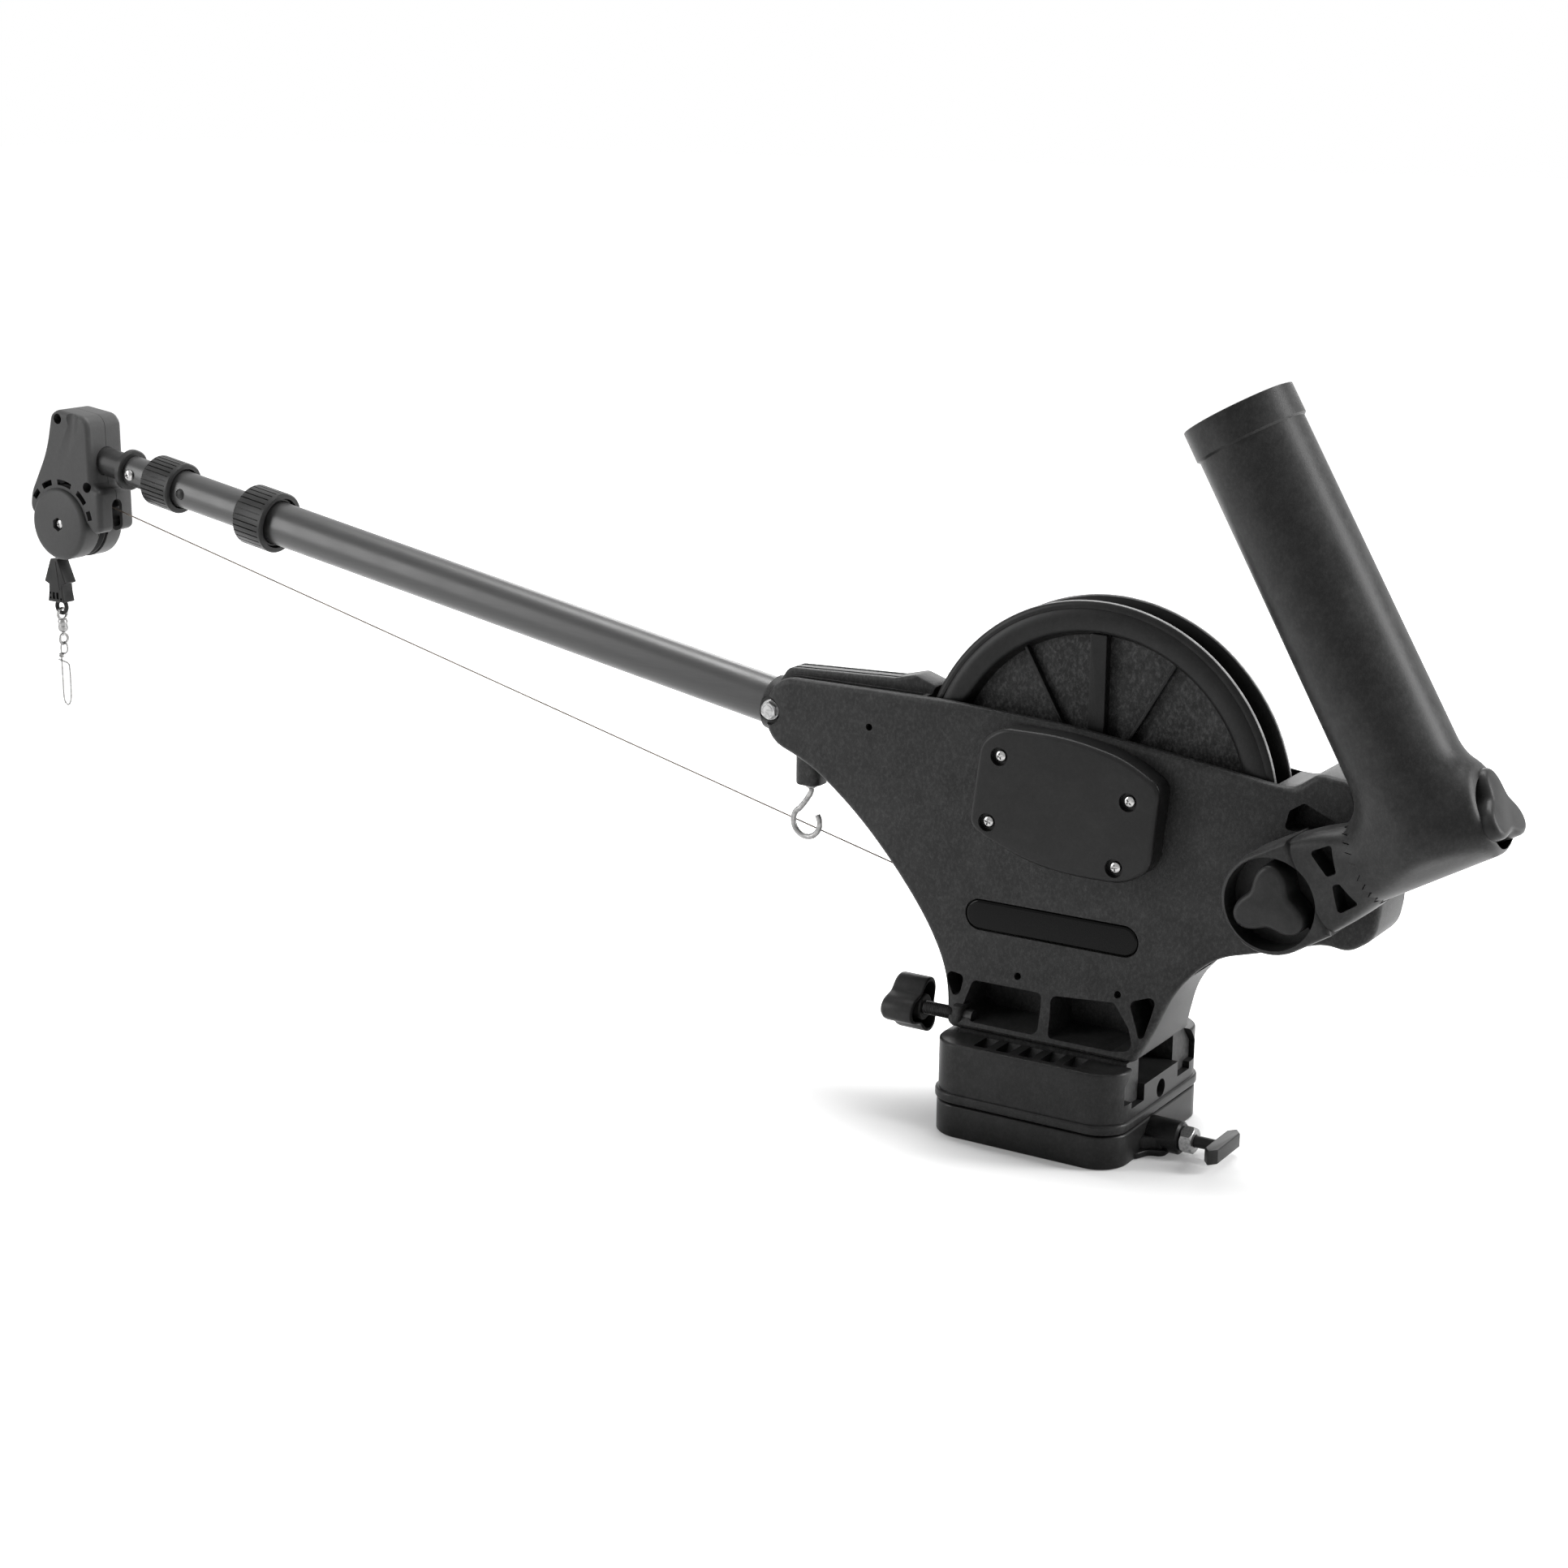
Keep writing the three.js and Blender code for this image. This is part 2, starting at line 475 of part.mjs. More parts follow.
// Swivel base
const swivelLow = base.height + swivel.gap;
const swivelTop = swivelLow + swivel.height;
const channelFloor = swivelLow + swivel.channelFloor;
const blockTop = swivelTop - swivel.blockDrop;
const boltHeadTop = blockTop - pivot.headDrop;
const boltHeadLow = boltHeadTop - pivot.headHeight;
{
  const lip = raised(roundedRectangle(base.length + swivel.lipSpread, base.width + swivel.lipSpread,
    base.cornerRadius), swivelLow, swivelLow + swivel.lipHeight, swivel.edge);
  const body = raised(roundedRectangle(base.length - swivel.bodyInset, base.width - swivel.bodyInset,
    base.cornerRadius), swivelLow + swivel.lipHeight / 2, swivelTop, swivel.edge);
  const hub = cylinder('z', swivelLow - swivel.hubSink, swivelLow + swivel.lipHeight, [0, 0],
    swivel.hubRadius);
  const sideChannel = (side) => outline([
    [side * swivel.blockHalf, swivelTop + overrun],
    [side * swivel.blockHalf, channelFloor],
    [side * swivel.channelHalf, channelFloor],
    [side * swivel.channelHalf, channelFloor + swivel.blockNotch],
    [side * swivel.channelUndercut, channelFloor + swivel.blockNotch],
    [side * swivel.channelUndercut, swivelTop - swivel.undercutDrop],
    [side * (swivel.channelHalf + clearance), swivelTop - clearance],
    [side * (swivel.channelHalf + clearance), swivelTop + overrun],
  ]);
  const channelStart = -baseRear + swivel.frontWall;
  const channels = [1, -1].map((side) => drawnAlongX(sideChannel(side), channelStart, baseRear + overrun));
  const middle = box([channelStart, -swivel.blockHalf - clearance, blockTop],
    [baseRear + overrun, swivel.blockHalf + clearance, swivelTop + overrun]);
  const shankHole = cylinder('z', -overrun, blockTop, [0, 0], pivot.shankRadius + clearance, facets.round);
  const headHole = cylinder('z', boltHeadLow - clearance, blockTop + overrun, [0, 0],
    pivot.headRadius + clearance, facets.round);
  const endHole = cylinder('x', baseRear - swivel.frontWall, baseRear + overrun,
    [0, swivelLow + swivel.lipHeight * 2], pivot.shankRadius - clearance * 6, facets.tiny);
  const notches = Array.from({ length: swivel.notchCount }, (_, i) => {
    const wide = lockPin.noseRadius + clearance * 2;
    const notch = box([swivel.hubRadius - swivel.notchDepth, pinY - wide, lockPin.height - wide],
      [swivel.hubRadius + overrun, pinY + wide, lockPin.height + wide]);
    return solid(geometryOf(notch).rotateZ(i / swivel.notchCount * Math.PI * 2));
  });
  const rimInner = (base.width - swivel.bodyInset) / 2 - swivel.wall;
  const pocketCount = Math.floor((base.length - base.cornerRadius * 2) / swivel.pocketPitch);
  const pockets = [];
  for (let i = 0; i < pocketCount; i += 1) {
    const x = (i - (pocketCount - 1) / 2) * swivel.pocketPitch;
    const [low, high] = [swivelTop - swivel.pocketDepth, swivelTop + overrun];
    pockets.push(box([x - swivel.pocketLength / 2, swivel.channelHalf - clearance, low],
      [x + swivel.pocketLength / 2, rimInner, high]));
    pockets.push(box([x - swivel.pocketLength / 2, -rimInner, low],
      [x + swivel.pocketLength / 2, clearance - swivel.channelHalf, high]));
  }
  piece('swivel_base', cut(join(lip, body, hub), ...channels, middle, shankHole, headHole, endHole,
    ...notches,
    ...pockets), material.frame);
}

// Swivel bolt, which clamps the swivel base down on the mount base
{
  const socket = raised(hexagon(pivot.socket), boltHeadTop - pivot.headHeight / 2, boltHeadTop + overrun);
  const bolt = join(
    cylinder('z', boltHeadLow, boltHeadTop, [0, 0], pivot.headRadius, facets.small),
    cylinder('z', pivot.foot, boltHeadLow + clearance, [0, 0], pivot.shankRadius, facets.small));
  piece('swivel_bolt', cut(bolt, socket), material.zinc);
}

// Lock pin with its handle and its nut
{
  const nutEnd = bossEnd + clearance + lockPin.nutLength;
  const handleStart = nutEnd + lockPin.stickOut;
  const noseStart = swivel.hubRadius + clearance;
  const flangeStart = springSeat - lockPin.flangeSink;
  const at = [pinY, lockPin.height];
  const nose = cylinder('x', noseStart, flangeStart + clearance, at, lockPin.noseRadius, facets.tiny);
  const flange = cylinder('x', flangeStart, flangeStart + lockPin.flangeThickness, at, lockPin.flangeRadius,
    facets.small);
  const stem = cylinder('x', flangeStart, handleStart + clearance, at, lockPin.shaftRadius, facets.tiny);
  const halfSpan = lockPin.handleSpan / 2;
  const deep = lockPin.handleThickness;
  const taper = halfSpan - lockPin.handleTaper;
  const bar = outline([[0, -taper], [deep / 2, -halfSpan], [deep, -taper], [deep, taper], [deep / 2,
    halfSpan],
    [0, taper]]);
  const barLow = lockPin.height - lockPin.handleHeight / 2;
  const handle = solid(geometryOf(raised(bar, barLow, barLow + lockPin.handleHeight, base.edge / 2))
    .translate(handleStart, pinY, 0));
  piece('lock_pin', join(nose, flange, stem, handle), material.dark);
  const nut = solid(geometryOf(raised(hexagon(lockPin.nutAcross), 0, lockPin.nutLength, base.edge / 2))
    .rotateY(Math.PI / 2).translate(bossEnd + clearance, pinY, lockPin.height));
  piece('lock_pin_nut', cut(nut, cylinder('x', bossEnd, nutEnd + overrun, at,
    lockPin.shaftRadius + clearance,
    facets.small)), material.zinc);
}

// The boom's line: places are how far out from the boom bolt, how far above the line
const onBoom = new THREE.Matrix4().makeRotationY(rise).setPosition(boom.boltX, 0, boom.boltZ);
const alongBoom = (start, end, radius, sides = facets.round, endRadius = radius) =>
  cylinder('x', -end, -start, [0, 0], endRadius, sides, radius);
const boomGroup = new THREE.Group();
onBoom.decompose(boomGroup.position, boomGroup.quaternion, boomGroup.scale);
downrigger.add(boomGroup);
const moved = (body, matrix) => solid(geometryOf(body).applyMatrix4(matrix));

// The cable's straight run, tangent to the reel's winding and to the pulley's groove
const cableRadius = winding.cable / 2;
const pulleyPitch = pulley.groove + cableRadius + clearance;
const run = (() => {
  const dx = reel.x - axle.x;
  const dz = reel.z - axle.z;
  const slope = Math.atan2(dz, dx) - Math.asin((winding.radius + pulleyPitch) / Math.hypot(dx, dz));
  const across = [-Math.sin(slope), Math.cos(slope)];
  const along = [Math.cos(slope), Math.sin(slope)];
  const rear = [reel.x - winding.radius * across[0], reel.z - winding.radius * across[1]];
  const front = [axle.x + pulleyPitch * across[0], axle.z + pulleyPitch * across[1]];
  return { slope, along, rear, front };
})();
const cableHeight = (x) => run.rear[1] + (x - run.rear[0]) * run.along[1] / run.along[0];
const coverPlace = ([across, up]) => [reel.x + across * reel.radius, reel.z + up * reel.radius];

// Frame
const half = frame.thickness / 2;
const frameLength = frame.front + frame.rear;
const framePoint = ([across, up]) => [-frame.front + across * frameLength,
  frame.foot + up * (frame.top - frame.foot)];
const cavityHalf = half - frame.wall;
const footLength = frame.footRear - frame.footFront;
const bolster = boom.outerRadius + boom.socketWall;
{
  const points = frameOutlineShares.map(framePoint);
  const slab = drawn(outline(points, frame.edge * 3), -half, half, frame.edge, 1);
  const hollow = drawn(outline(inset(points, frame.wall)), -cavityHalf, cavityHalf);
  const humpX = [-frame.front + frame.wall, reel.x - reel.radius + frame.wall * 2];
  const humpZ = frame.top - frame.edge;
  const hump = drawn(outline([
    [humpX[0], humpZ - frame.humpRise], [humpX[1], humpZ - frame.humpRise], [humpX[1],
      humpZ + frame.humpRise],
    [humpX[1] - frame.humpRise * 3, humpZ + frame.humpRise + frame.wall], [humpX[0] + frame.humpRise,
      humpZ + frame.wall],
  ], frame.humpRise), -frame.humpHalf, frame.humpHalf, frame.edge / 2, 3);
  const sleeveOfBoom = moved(alongBoom(-boom.insert, boom.mouth, bolster), onBoom);
  const bore = moved(alongBoom(-boom.insert - clearance, boom.mouth + overrun * 2,
    boom.outerRadius + clearance), onBoom);
  const earBoss = cylinder('y', -half + frame.edge, half - frame.edge, [rod.pivotX, rod.pivotZ],
    rod.boltRadius * 2, facets.small);
  const earHole = cylinder('y', -half - overrun, half + overrun, [rod.pivotX, rod.pivotZ],
    rod.boltRadius + clearance, facets.small);
  const reelCavity = cylinder('y', -cavityHalf, cavityHalf, [reel.x, reel.z], reel.radius + frame.reelGap,
    facets.fine);
  const shaftHole = cylinder('y', -half - overrun, half + overrun, [reel.x, reel.z],
    shaft.bushRadius + clearance, facets.round);
  const boomBoltAt = [boom.boltX, boom.boltZ];
  const boltHole = cylinder('y', -half - overrun, half + overrun, boomBoltAt,
    boom.boltRadius + clearance, facets.tiny);
  const boltRecesses = [-1, 1].map((side) => {
    const [low, high] = [side * (half - boom.boltRecessDepth), side * (half + overrun)].sort((a,
      b) => a - b);
    return cylinder('y', low, high, boomBoltAt, boom.boltRecess, facets.small);
  });
  const cableLow = [frame.footFront - frame.footTop, 0].map((x) => [x, cableHeight(x)]);
  const cableSlot = drawn(outline([
    [cableLow[0][0], cableLow[0][1] - frame.cableRoom], [cableLow[1][0], cableLow[1][1] - frame.cableRoom],
    [cableLow[1][0], cableLow[1][1] + frame.cableRoom], [cableLow[0][0], cableLow[0][1] + frame.cableRoom],
  ]), -frame.cableSlot, frame.cableSlot);

  // The foot's flare, level by level, and the hollow in it
  const level = (z, shrink) => {
    const t = (z - frame.foot) / (frame.footTop - frame.foot);
    const spread = Math.max(0, 1 - t) ** 1.6;
    const y = half - frame.edge + spread * (frame.footHalf - half + frame.edge) - shrink;
    const x0 = frame.footFront - (1 - spread) * frame.wall + shrink;
    const x1 = frame.footRear + (1 - spread) * frame.wall - shrink;
    const corner = Math.min(frame.footCorner, y - frame.wall);
    const arc = (cx, cy, from) => Array.from({ length: 3 }, (_, i) => {
      const turn = from + i / 2 * Math.PI / 2;
      return [cx + Math.cos(turn) * corner, cy + Math.sin(turn) * corner];
    });
    return [z, [
      ...arc(x1 - corner, y - corner, 0), ...arc(x0 + corner, y - corner, Math.PI / 2),
      ...arc(x0 + corner, -y + corner, Math.PI), ...arc(x1 - corner, -y + corner, Math.PI * 3 / 2),
    ]];
  };
  const levels = (low, high, count, shrink) => Array.from({ length: count }, (_, i) =>
    level(low + (high - low) * i / (count - 1), shrink));
  const flare = loft(levels(frame.foot, frame.footTop, 5, 0));
  const plateTop = frame.foot + frame.footPlate;
  const flareHollow = loft(levels(plateTop, frame.windowTop, 3, frame.wall));
  const opening = box([frame.footFront + frame.wall * 2, -half, frame.foot - overrun],
    [frame.footRear - frame.wall * 2, half, plateTop + overrun]);
  const windows = footWindowShares.map((shares) => drawn(outline(shares.map(([across, up]) =>
    [frame.footFront + across * footLength, frame.foot + up * (frame.footTop - frame.foot)]), frame.edge),
    -frame.footHalf - overrun, frame.footHalf + overrun, 0, 1));
  const rib = box([frame.footFront, -frame.footRib / 2, frame.foot],
    [frame.footRear, frame.footRib / 2, frame.windowTop + frame.wall / 2]);
  const runner = (side) => {
    const inner = side * (swivel.blockHalf + clearance * 2);
    const outer = side * (swivel.channelHalf - clearance);
    const wide = side * (swivel.channelUndercut - clearance * 2);
    const shelf = channelFloor + swivel.blockNotch + clearance;
    return drawnAlongX(outline([
      [inner, frame.foot + clearance], [inner, channelFloor + clearance], [outer, channelFloor + clearance],
      [outer, shelf], [wide, shelf], [wide, swivelTop - swivel.undercutDrop - clearance],
      [outer, swivelTop - clearance * 2], [outer, frame.foot + clearance],
    ]), -baseRear + swivel.frontWall + clearance, frame.footRear - frame.wall);
  };
  const clampBoss = box([frame.footFront - frame.wall, clamp.y - clamp.bossHalf, frame.foot],
    [frame.footFront + clamp.studSink, clamp.y + clamp.bossHalf, clamp.z + clamp.bossHalf]);
  const clampHole = cylinder('x', frame.footFront - frame.footTop,
    frame.footFront + clamp.studSink + overrun,
    [clamp.y, clamp.z], clamp.studRadius + clearance, facets.small);
  const screwHoles = coverScrewShares.map((share) => cylinder('y', -half - overrun, -cavityHalf + overrun,
    coverPlace(share), cover.screwShank + clearance, facets.tiny));
  const badgePocket = drawn(slot(badge.length + clearance * 2, badge.height + clearance * 2),
    -half - overrun,
    -half + badge.depth + clearance, 0, 6);
  const badgeRecess = solid(geometryOf(badgePocket).translate(badge.x, 0, badge.z));
  const pawlHole = cylinder('y', -half - overrun, -cavityHalf + overrun,
    [reel.x + ratchet.pinX, reel.z - ratchet.pinDrop], ratchet.pinRadius + clearance, facets.tiny);
  const earPocket = drawn(outline(earPocketShares.map(([across,
    up]) => [rod.pivotX + across * rod.hubRadius,
    rod.pivotZ + up * rod.hubRadius]), frame.wall / 2), -half - overrun, overrun - cavityHalf, 0, 1);
  const counterHole = cylinder('y', cavityHalf - overrun, half + overrun, [counter.x, counter.z],
    counter.shaftRadius * 2, facets.tiny);
  const hookBoss = cylinder('z', hook.z - hook.bossDrop, hook.z + hook.bossDrop, [hook.x, hook.y],
    hook.bossRadius,
    facets.small);
  const hookHole = cylinder('z', hook.z - hook.bossDrop - overrun, hook.z, [hook.x, hook.y],
    hook.wire + clearance * 2, facets.small);
  const hollowed = join(cut(join(slab, flare), hollow, flareHollow, opening, ...windows), hump, rib,
    clampBoss, earBoss);
  const withSleeve = join(hollowed, sleeveOfBoom, hookBoss, runner(1), runner(-1));
  piece('frame', cut(withSleeve, bore, reelCavity, shaftHole, boltHole, ...boltRecesses, cableSlot, earHole,
    clampHole, ...screwHoles, badgeRecess, pawlHole, counterHole, hookHole, earPocket),
    material.frame);
}

// Badge: a bare gloss plate in a recess of the frame's near side
{
  const plate = drawn(slot(badge.length, badge.height), -half - badge.rim, -half + badge.depth - clearance,
    badge.rim, 6);
  piece('badge_plate', solid(geometryOf(plate).translate(badge.x, 0, badge.z)), material.gloss);
}

// A hexagon head or nut whose axis lies along Y, round a place in X and Z
const hexAcrossY = (radius, low, high, place) => solid(geometryOf(
  raised(hexagon(radius * 2), -high, -low, clearance * 2)).rotateX(Math.PI / 2).translate(place[0], 0,
    place[1]));

// Boom bolt and its nut, through the frame and the outer tube
{
  const seat = half - boom.boltRecessDepth + clearance;
  const place = [boom.boltX, boom.boltZ];
  const bolt = join(hexAcrossY(boom.boltHead, -seat - boom.boltHeadHeight, -seat, place),
    cylinder('y', -seat - clearance, seat + boom.boltHeadHeight, place, boom.boltRadius, facets.tiny));
  piece('boom_bolt', bolt, material.zinc);
  const nut = hexAcrossY(boom.boltHead, seat, seat + boom.boltHeadHeight, place);
  piece('boom_nut', cut(nut, cylinder('y', 0, frame.thickness, place, boom.boltRadius + clearance,
    facets.small)),
    material.zinc);
}

// Weight hook: a wire eye under the front of the arm
{
  const { loopRadius: r, loopX, loopZ } = hook;
  const turnFrom = 105;
  const loopSteps = 12;
  const sweepTurn = 360 - hook.opening;
  const loop = Array.from({ length: loopSteps + 1 }, (_, i) => {
    const turn = THREE.MathUtils.degToRad(turnFrom + sweepTurn * i / loopSteps);
    return [loopX + Math.cos(turn) * r, hook.y, loopZ + Math.sin(turn) * r];
  });
  const shankTop = hook.z - clearance;
  const curve = smoothCurve([[hook.x, hook.y, shankTop], [hook.x, hook.y, shankTop - hook.shank], ...loop]);
  piece('weight_hook', wire(curve, hook.wire, 6, 18), material.steel);
}

// Clamp knob at the foot, on its stud
{
  const at = [clamp.y, clamp.z];
  const studStart = frame.footFront - clamp.studReach - clamp.knobOffset;
  piece('base_clamp_stud', cylinder('x', studStart, frame.footFront + clamp.studSink - clearance, at,
    clamp.studRadius, facets.small), material.zinc);
  const knobBody = lobedKnob(clamp.knobRadius, clamp.knobDepth, clamp.knobWall, clamp.knobHub);
  const bore = cylinder('z', -overrun, clamp.knobDepth - clamp.knobWall * 2, [0, 0],
    clamp.studRadius + clearance, facets.small);
  piece('base_clamp_knob', aimed(cut(knobBody, bore), [frame.footFront - clamp.knobOffset, ...at], [-1,
    0, 0]),
    material.dark);
}

// Side cover over the anti-reverse wheel, and its screws
{
  const points = coverOutlineShares.map(coverPlace);
  const nearFace = -half - clearance;
  const front = nearFace - cover.depth;
  const back = box([-frame.front, nearFace, 0], [frame.rear, half, frame.top * 2]);
  const block = cut(drawn(outline(points, cover.corner), front, nearFace + cover.edge * 2, cover.edge, 1,
    1), back);
  const inner = drawn(outline(inset(points, cover.wall), cover.corner), front + cover.wall,
    nearFace + overrun, 0, 2);
  const posts = coverScrewShares.map((share) => cylinder('y', front + cover.wall / 2, nearFace,
    coverPlace(share),
    cover.postRadius, facets.tiny));
  const body = join(cut(block, inner), join(...posts).intersect(block));
  const recesses = coverScrewShares.flatMap((share) => [
    cylinder('y', front - overrun, front + cover.screwRecessDepth, coverPlace(share), cover.screwRecess,
      facets.small),
    cylinder('y', front, nearFace + overrun, coverPlace(share), cover.screwShank + clearance,
      facets.tiny)]);
  piece('side_cover', cut(body, ...recesses), material.frame);
  coverScrewShares.forEach((share, i) => {
    const place = coverPlace(share);
    const seat = front + cover.screwRecessDepth - clearance;
    const pan = turned('y', [[0, seat - cover.screwHeight], [cover.screwRadius * 0.7,
      seat - cover.screwHeight * 0.85],
      [cover.screwRadius, seat - cover.screwHeight * 0.3], [cover.screwRadius, seat], [0, seat]], place,
        facets.small);
    const shank = cylinder('y', seat - clearance, -cover.shankReach, place, cover.screwShank, facets.tiny);
    piece(`cover_screw_${i + 1}`, join(pan, shank), material.steel);
  });
}

// Anti-reverse wheel, its pawl and the pawl's pin, under the side cover
const ratchetLow = -half - ratchet.stand - ratchet.thickness;
{
  const step = Math.PI * 2 / ratchet.teeth;
  const teeth = Array.from({ length: ratchet.teeth }, (_, i) => [
    [Math.cos(i * step) * ratchet.radius, Math.sin(i * step) * ratchet.radius],
    [Math.cos((i + 0.12) * step) * (ratchet.radius - ratchet.toothDepth),
      Math.sin((i + 0.12) * step) * (ratchet.radius - ratchet.toothDepth)],
  ]).flat().map(([x, z]) => [x + reel.x, z + reel.z]);
  const wheel = drawn(outline(teeth), ratchetLow, -half - ratchet.stand, 0);
  piece('ratchet_wheel', cut(wheel, cylinder('y', -half * 2, 0, [reel.x, reel.z],
    reel.shaftRadius + clearance)), material.zinc);
  const pin = [reel.x + ratchet.pinX, reel.z - ratchet.pinDrop];
  const nearest = ratchet.radius + clearance * 2;
  const tip = [reel.x - nearest * Math.cos(Math.PI / 12), reel.z + nearest * Math.sin(Math.PI / 12)];
  const away = [tip[0] - ratchet.pawlEnd, tip[1] + ratchet.pawlTip];
  const arm = drawn(outline([[pin[0] + ratchet.pawlEnd * 0.8, pin[1] - ratchet.pawlTip], tip, away,
    [pin[0] - ratchet.pawlEnd * 0.8, pin[1]]]), ratchetLow, -half - ratchet.stand, 0);
  const eyeOfPawl = cylinder('y', ratchetLow, -half - ratchet.stand, pin, ratchet.pawlEnd, facets.small);
  piece('pawl', cut(join(arm, eyeOfPawl), cylinder('y', -half * 2, 0, pin, ratchet.pinRadius + clearance,
    facets.small)), material.zinc);
  piece('pawl_pin', join(
    cylinder('y', ratchetLow - clearance * 6, ratchetLow - clearance, pin, ratchet.pinHead, facets.small),
    cylinder('y', ratchetLow - clearance * 2, -half + ratchet.pinSink, pin, ratchet.pinRadius,
      facets.small)),
    material.steel);
}

// Reel: two halves that meet in the middle, each with a raised hub, a web, spokes and a convex rim
const reelHalf = reel.width / 2;
const coreRadius = winding.radius * Math.cos(Math.PI / winding.steps) - cableRadius - clearance;
function reelSide(direction, sides) {
  const face = reelHalf;
  const web = face - reel.webDrop;
  const split = reel.splitGap / 2;
  const inside = face - reel.flangeThickness;
  const bulge = reel.rimHeight / 2;
  const profile = [
    [reel.shaftRadius + clearance, split], [reel.shaftRadius + clearance, face + reel.hubPad],
    [reel.hubRadius, face + reel.hubPad], [reel.hubRadius, web], [coreRadius - reel.drumWall, web],
    [coreRadius - reel.drumWall, face - bulge],
    [(reel.rimInner + reel.radius) / 2, face + bulge / 2], [reel.radius - reel.rimEdge / 2,
      face - bulge / 2],
    [reel.radius, face - reel.flangeThickness / 2], [reel.radius - reel.rimEdge / 2, inside],
    [coreRadius, inside], [coreRadius, split], [coreRadius - reel.drumWall * 2, split],
    [coreRadius - reel.drumWall * 2, web - reel.webThickness], [reel.hubRadius, web - reel.webThickness],
    [reel.hubRadius, split],
  ];
  const body = turned('y', [...profile, profile[0]], [reel.x, reel.z], sides);
  const bars = [];
  for (let i = 0; i < reel.spokeCount; i += 1) {
    const turn = Math.PI / 2 + i / reel.spokeCount * Math.PI * 2;
    const spread = THREE.MathUtils.degToRad(reel.ribSpread);
    for (const [angle, thick, top] of [[turn, reel.spokeRadius, face - bulge * 2],
      [turn - spread, reel.ribThickness / 2, face - bulge * 4], [turn + spread, reel.ribThickness / 2,
        face - bulge * 4]]) {
      const bar = box([reel.hubRadius - bulge, web - bulge, -thick], [coreRadius - bulge, top, thick]);
      bars.push(solid(geometryOf(bar).rotateY(-angle).translate(reel.x, 0, reel.z)));
    }
  }
  const half = join(body, ...bars);
  return direction > 0 ? half : solid(geometryOf(half).scale(1, -1, 1));
}
piece('reel_near_half', reelSide(-1, facets.fine), material.dark);
piece('reel_far_half', reelSide(1, facets.fine - facets.tiny), material.dark);

// Wire cable wound on the reel, one layer
{
  const steps = winding.turns * winding.steps;
  const span = winding.turns * winding.pitch;
  class Coil extends THREE.Curve {
    getPoint(t, target = new THREE.Vector3()) {
      const turn = t * winding.turns * Math.PI * 2;
      return target.set(reel.x + Math.cos(turn) * winding.radius, (t - 1 / 2) * span,
        reel.z + Math.sin(turn) * winding.radius);
    }
  }
  piece('cable_winding', wire(new Coil(), cableRadius, winding.sides, steps), material.cable);
}

// Reel shaft and the flanged bushings that carry it in the frame's walls
{
  const at = [reel.x, reel.z];
  piece('reel_shaft', cylinder('y', -shaft.nearReach, crank.offset + crank.armThickness +
    crank.starDepth * 0.8, at,
    reel.shaftRadius, facets.round), material.steel);
  for (const [name, side] of [['near_bushing', -1], ['far_bushing', 1]]) {
    const sorted = (a, b) => [side * a, side * b].sort((p, q) => p - q);
    const sleeveOfBush = cylinder('y', ...sorted(cavityHalf - clearance,
      half + shaft.bushFlangeThickness), at,
      shaft.bushRadius);
    const flangeOfBush = cylinder('y', ...sorted(half + clearance,
      half + clearance + shaft.bushFlangeThickness), at,
      shaft.bushFlange);
    piece(name, cut(join(sleeveOfBush, flangeOfBush), cylinder('y', -frame.thickness, frame.thickness, at,
      reel.shaftRadius + clearance)), material.bronze);
  }
}

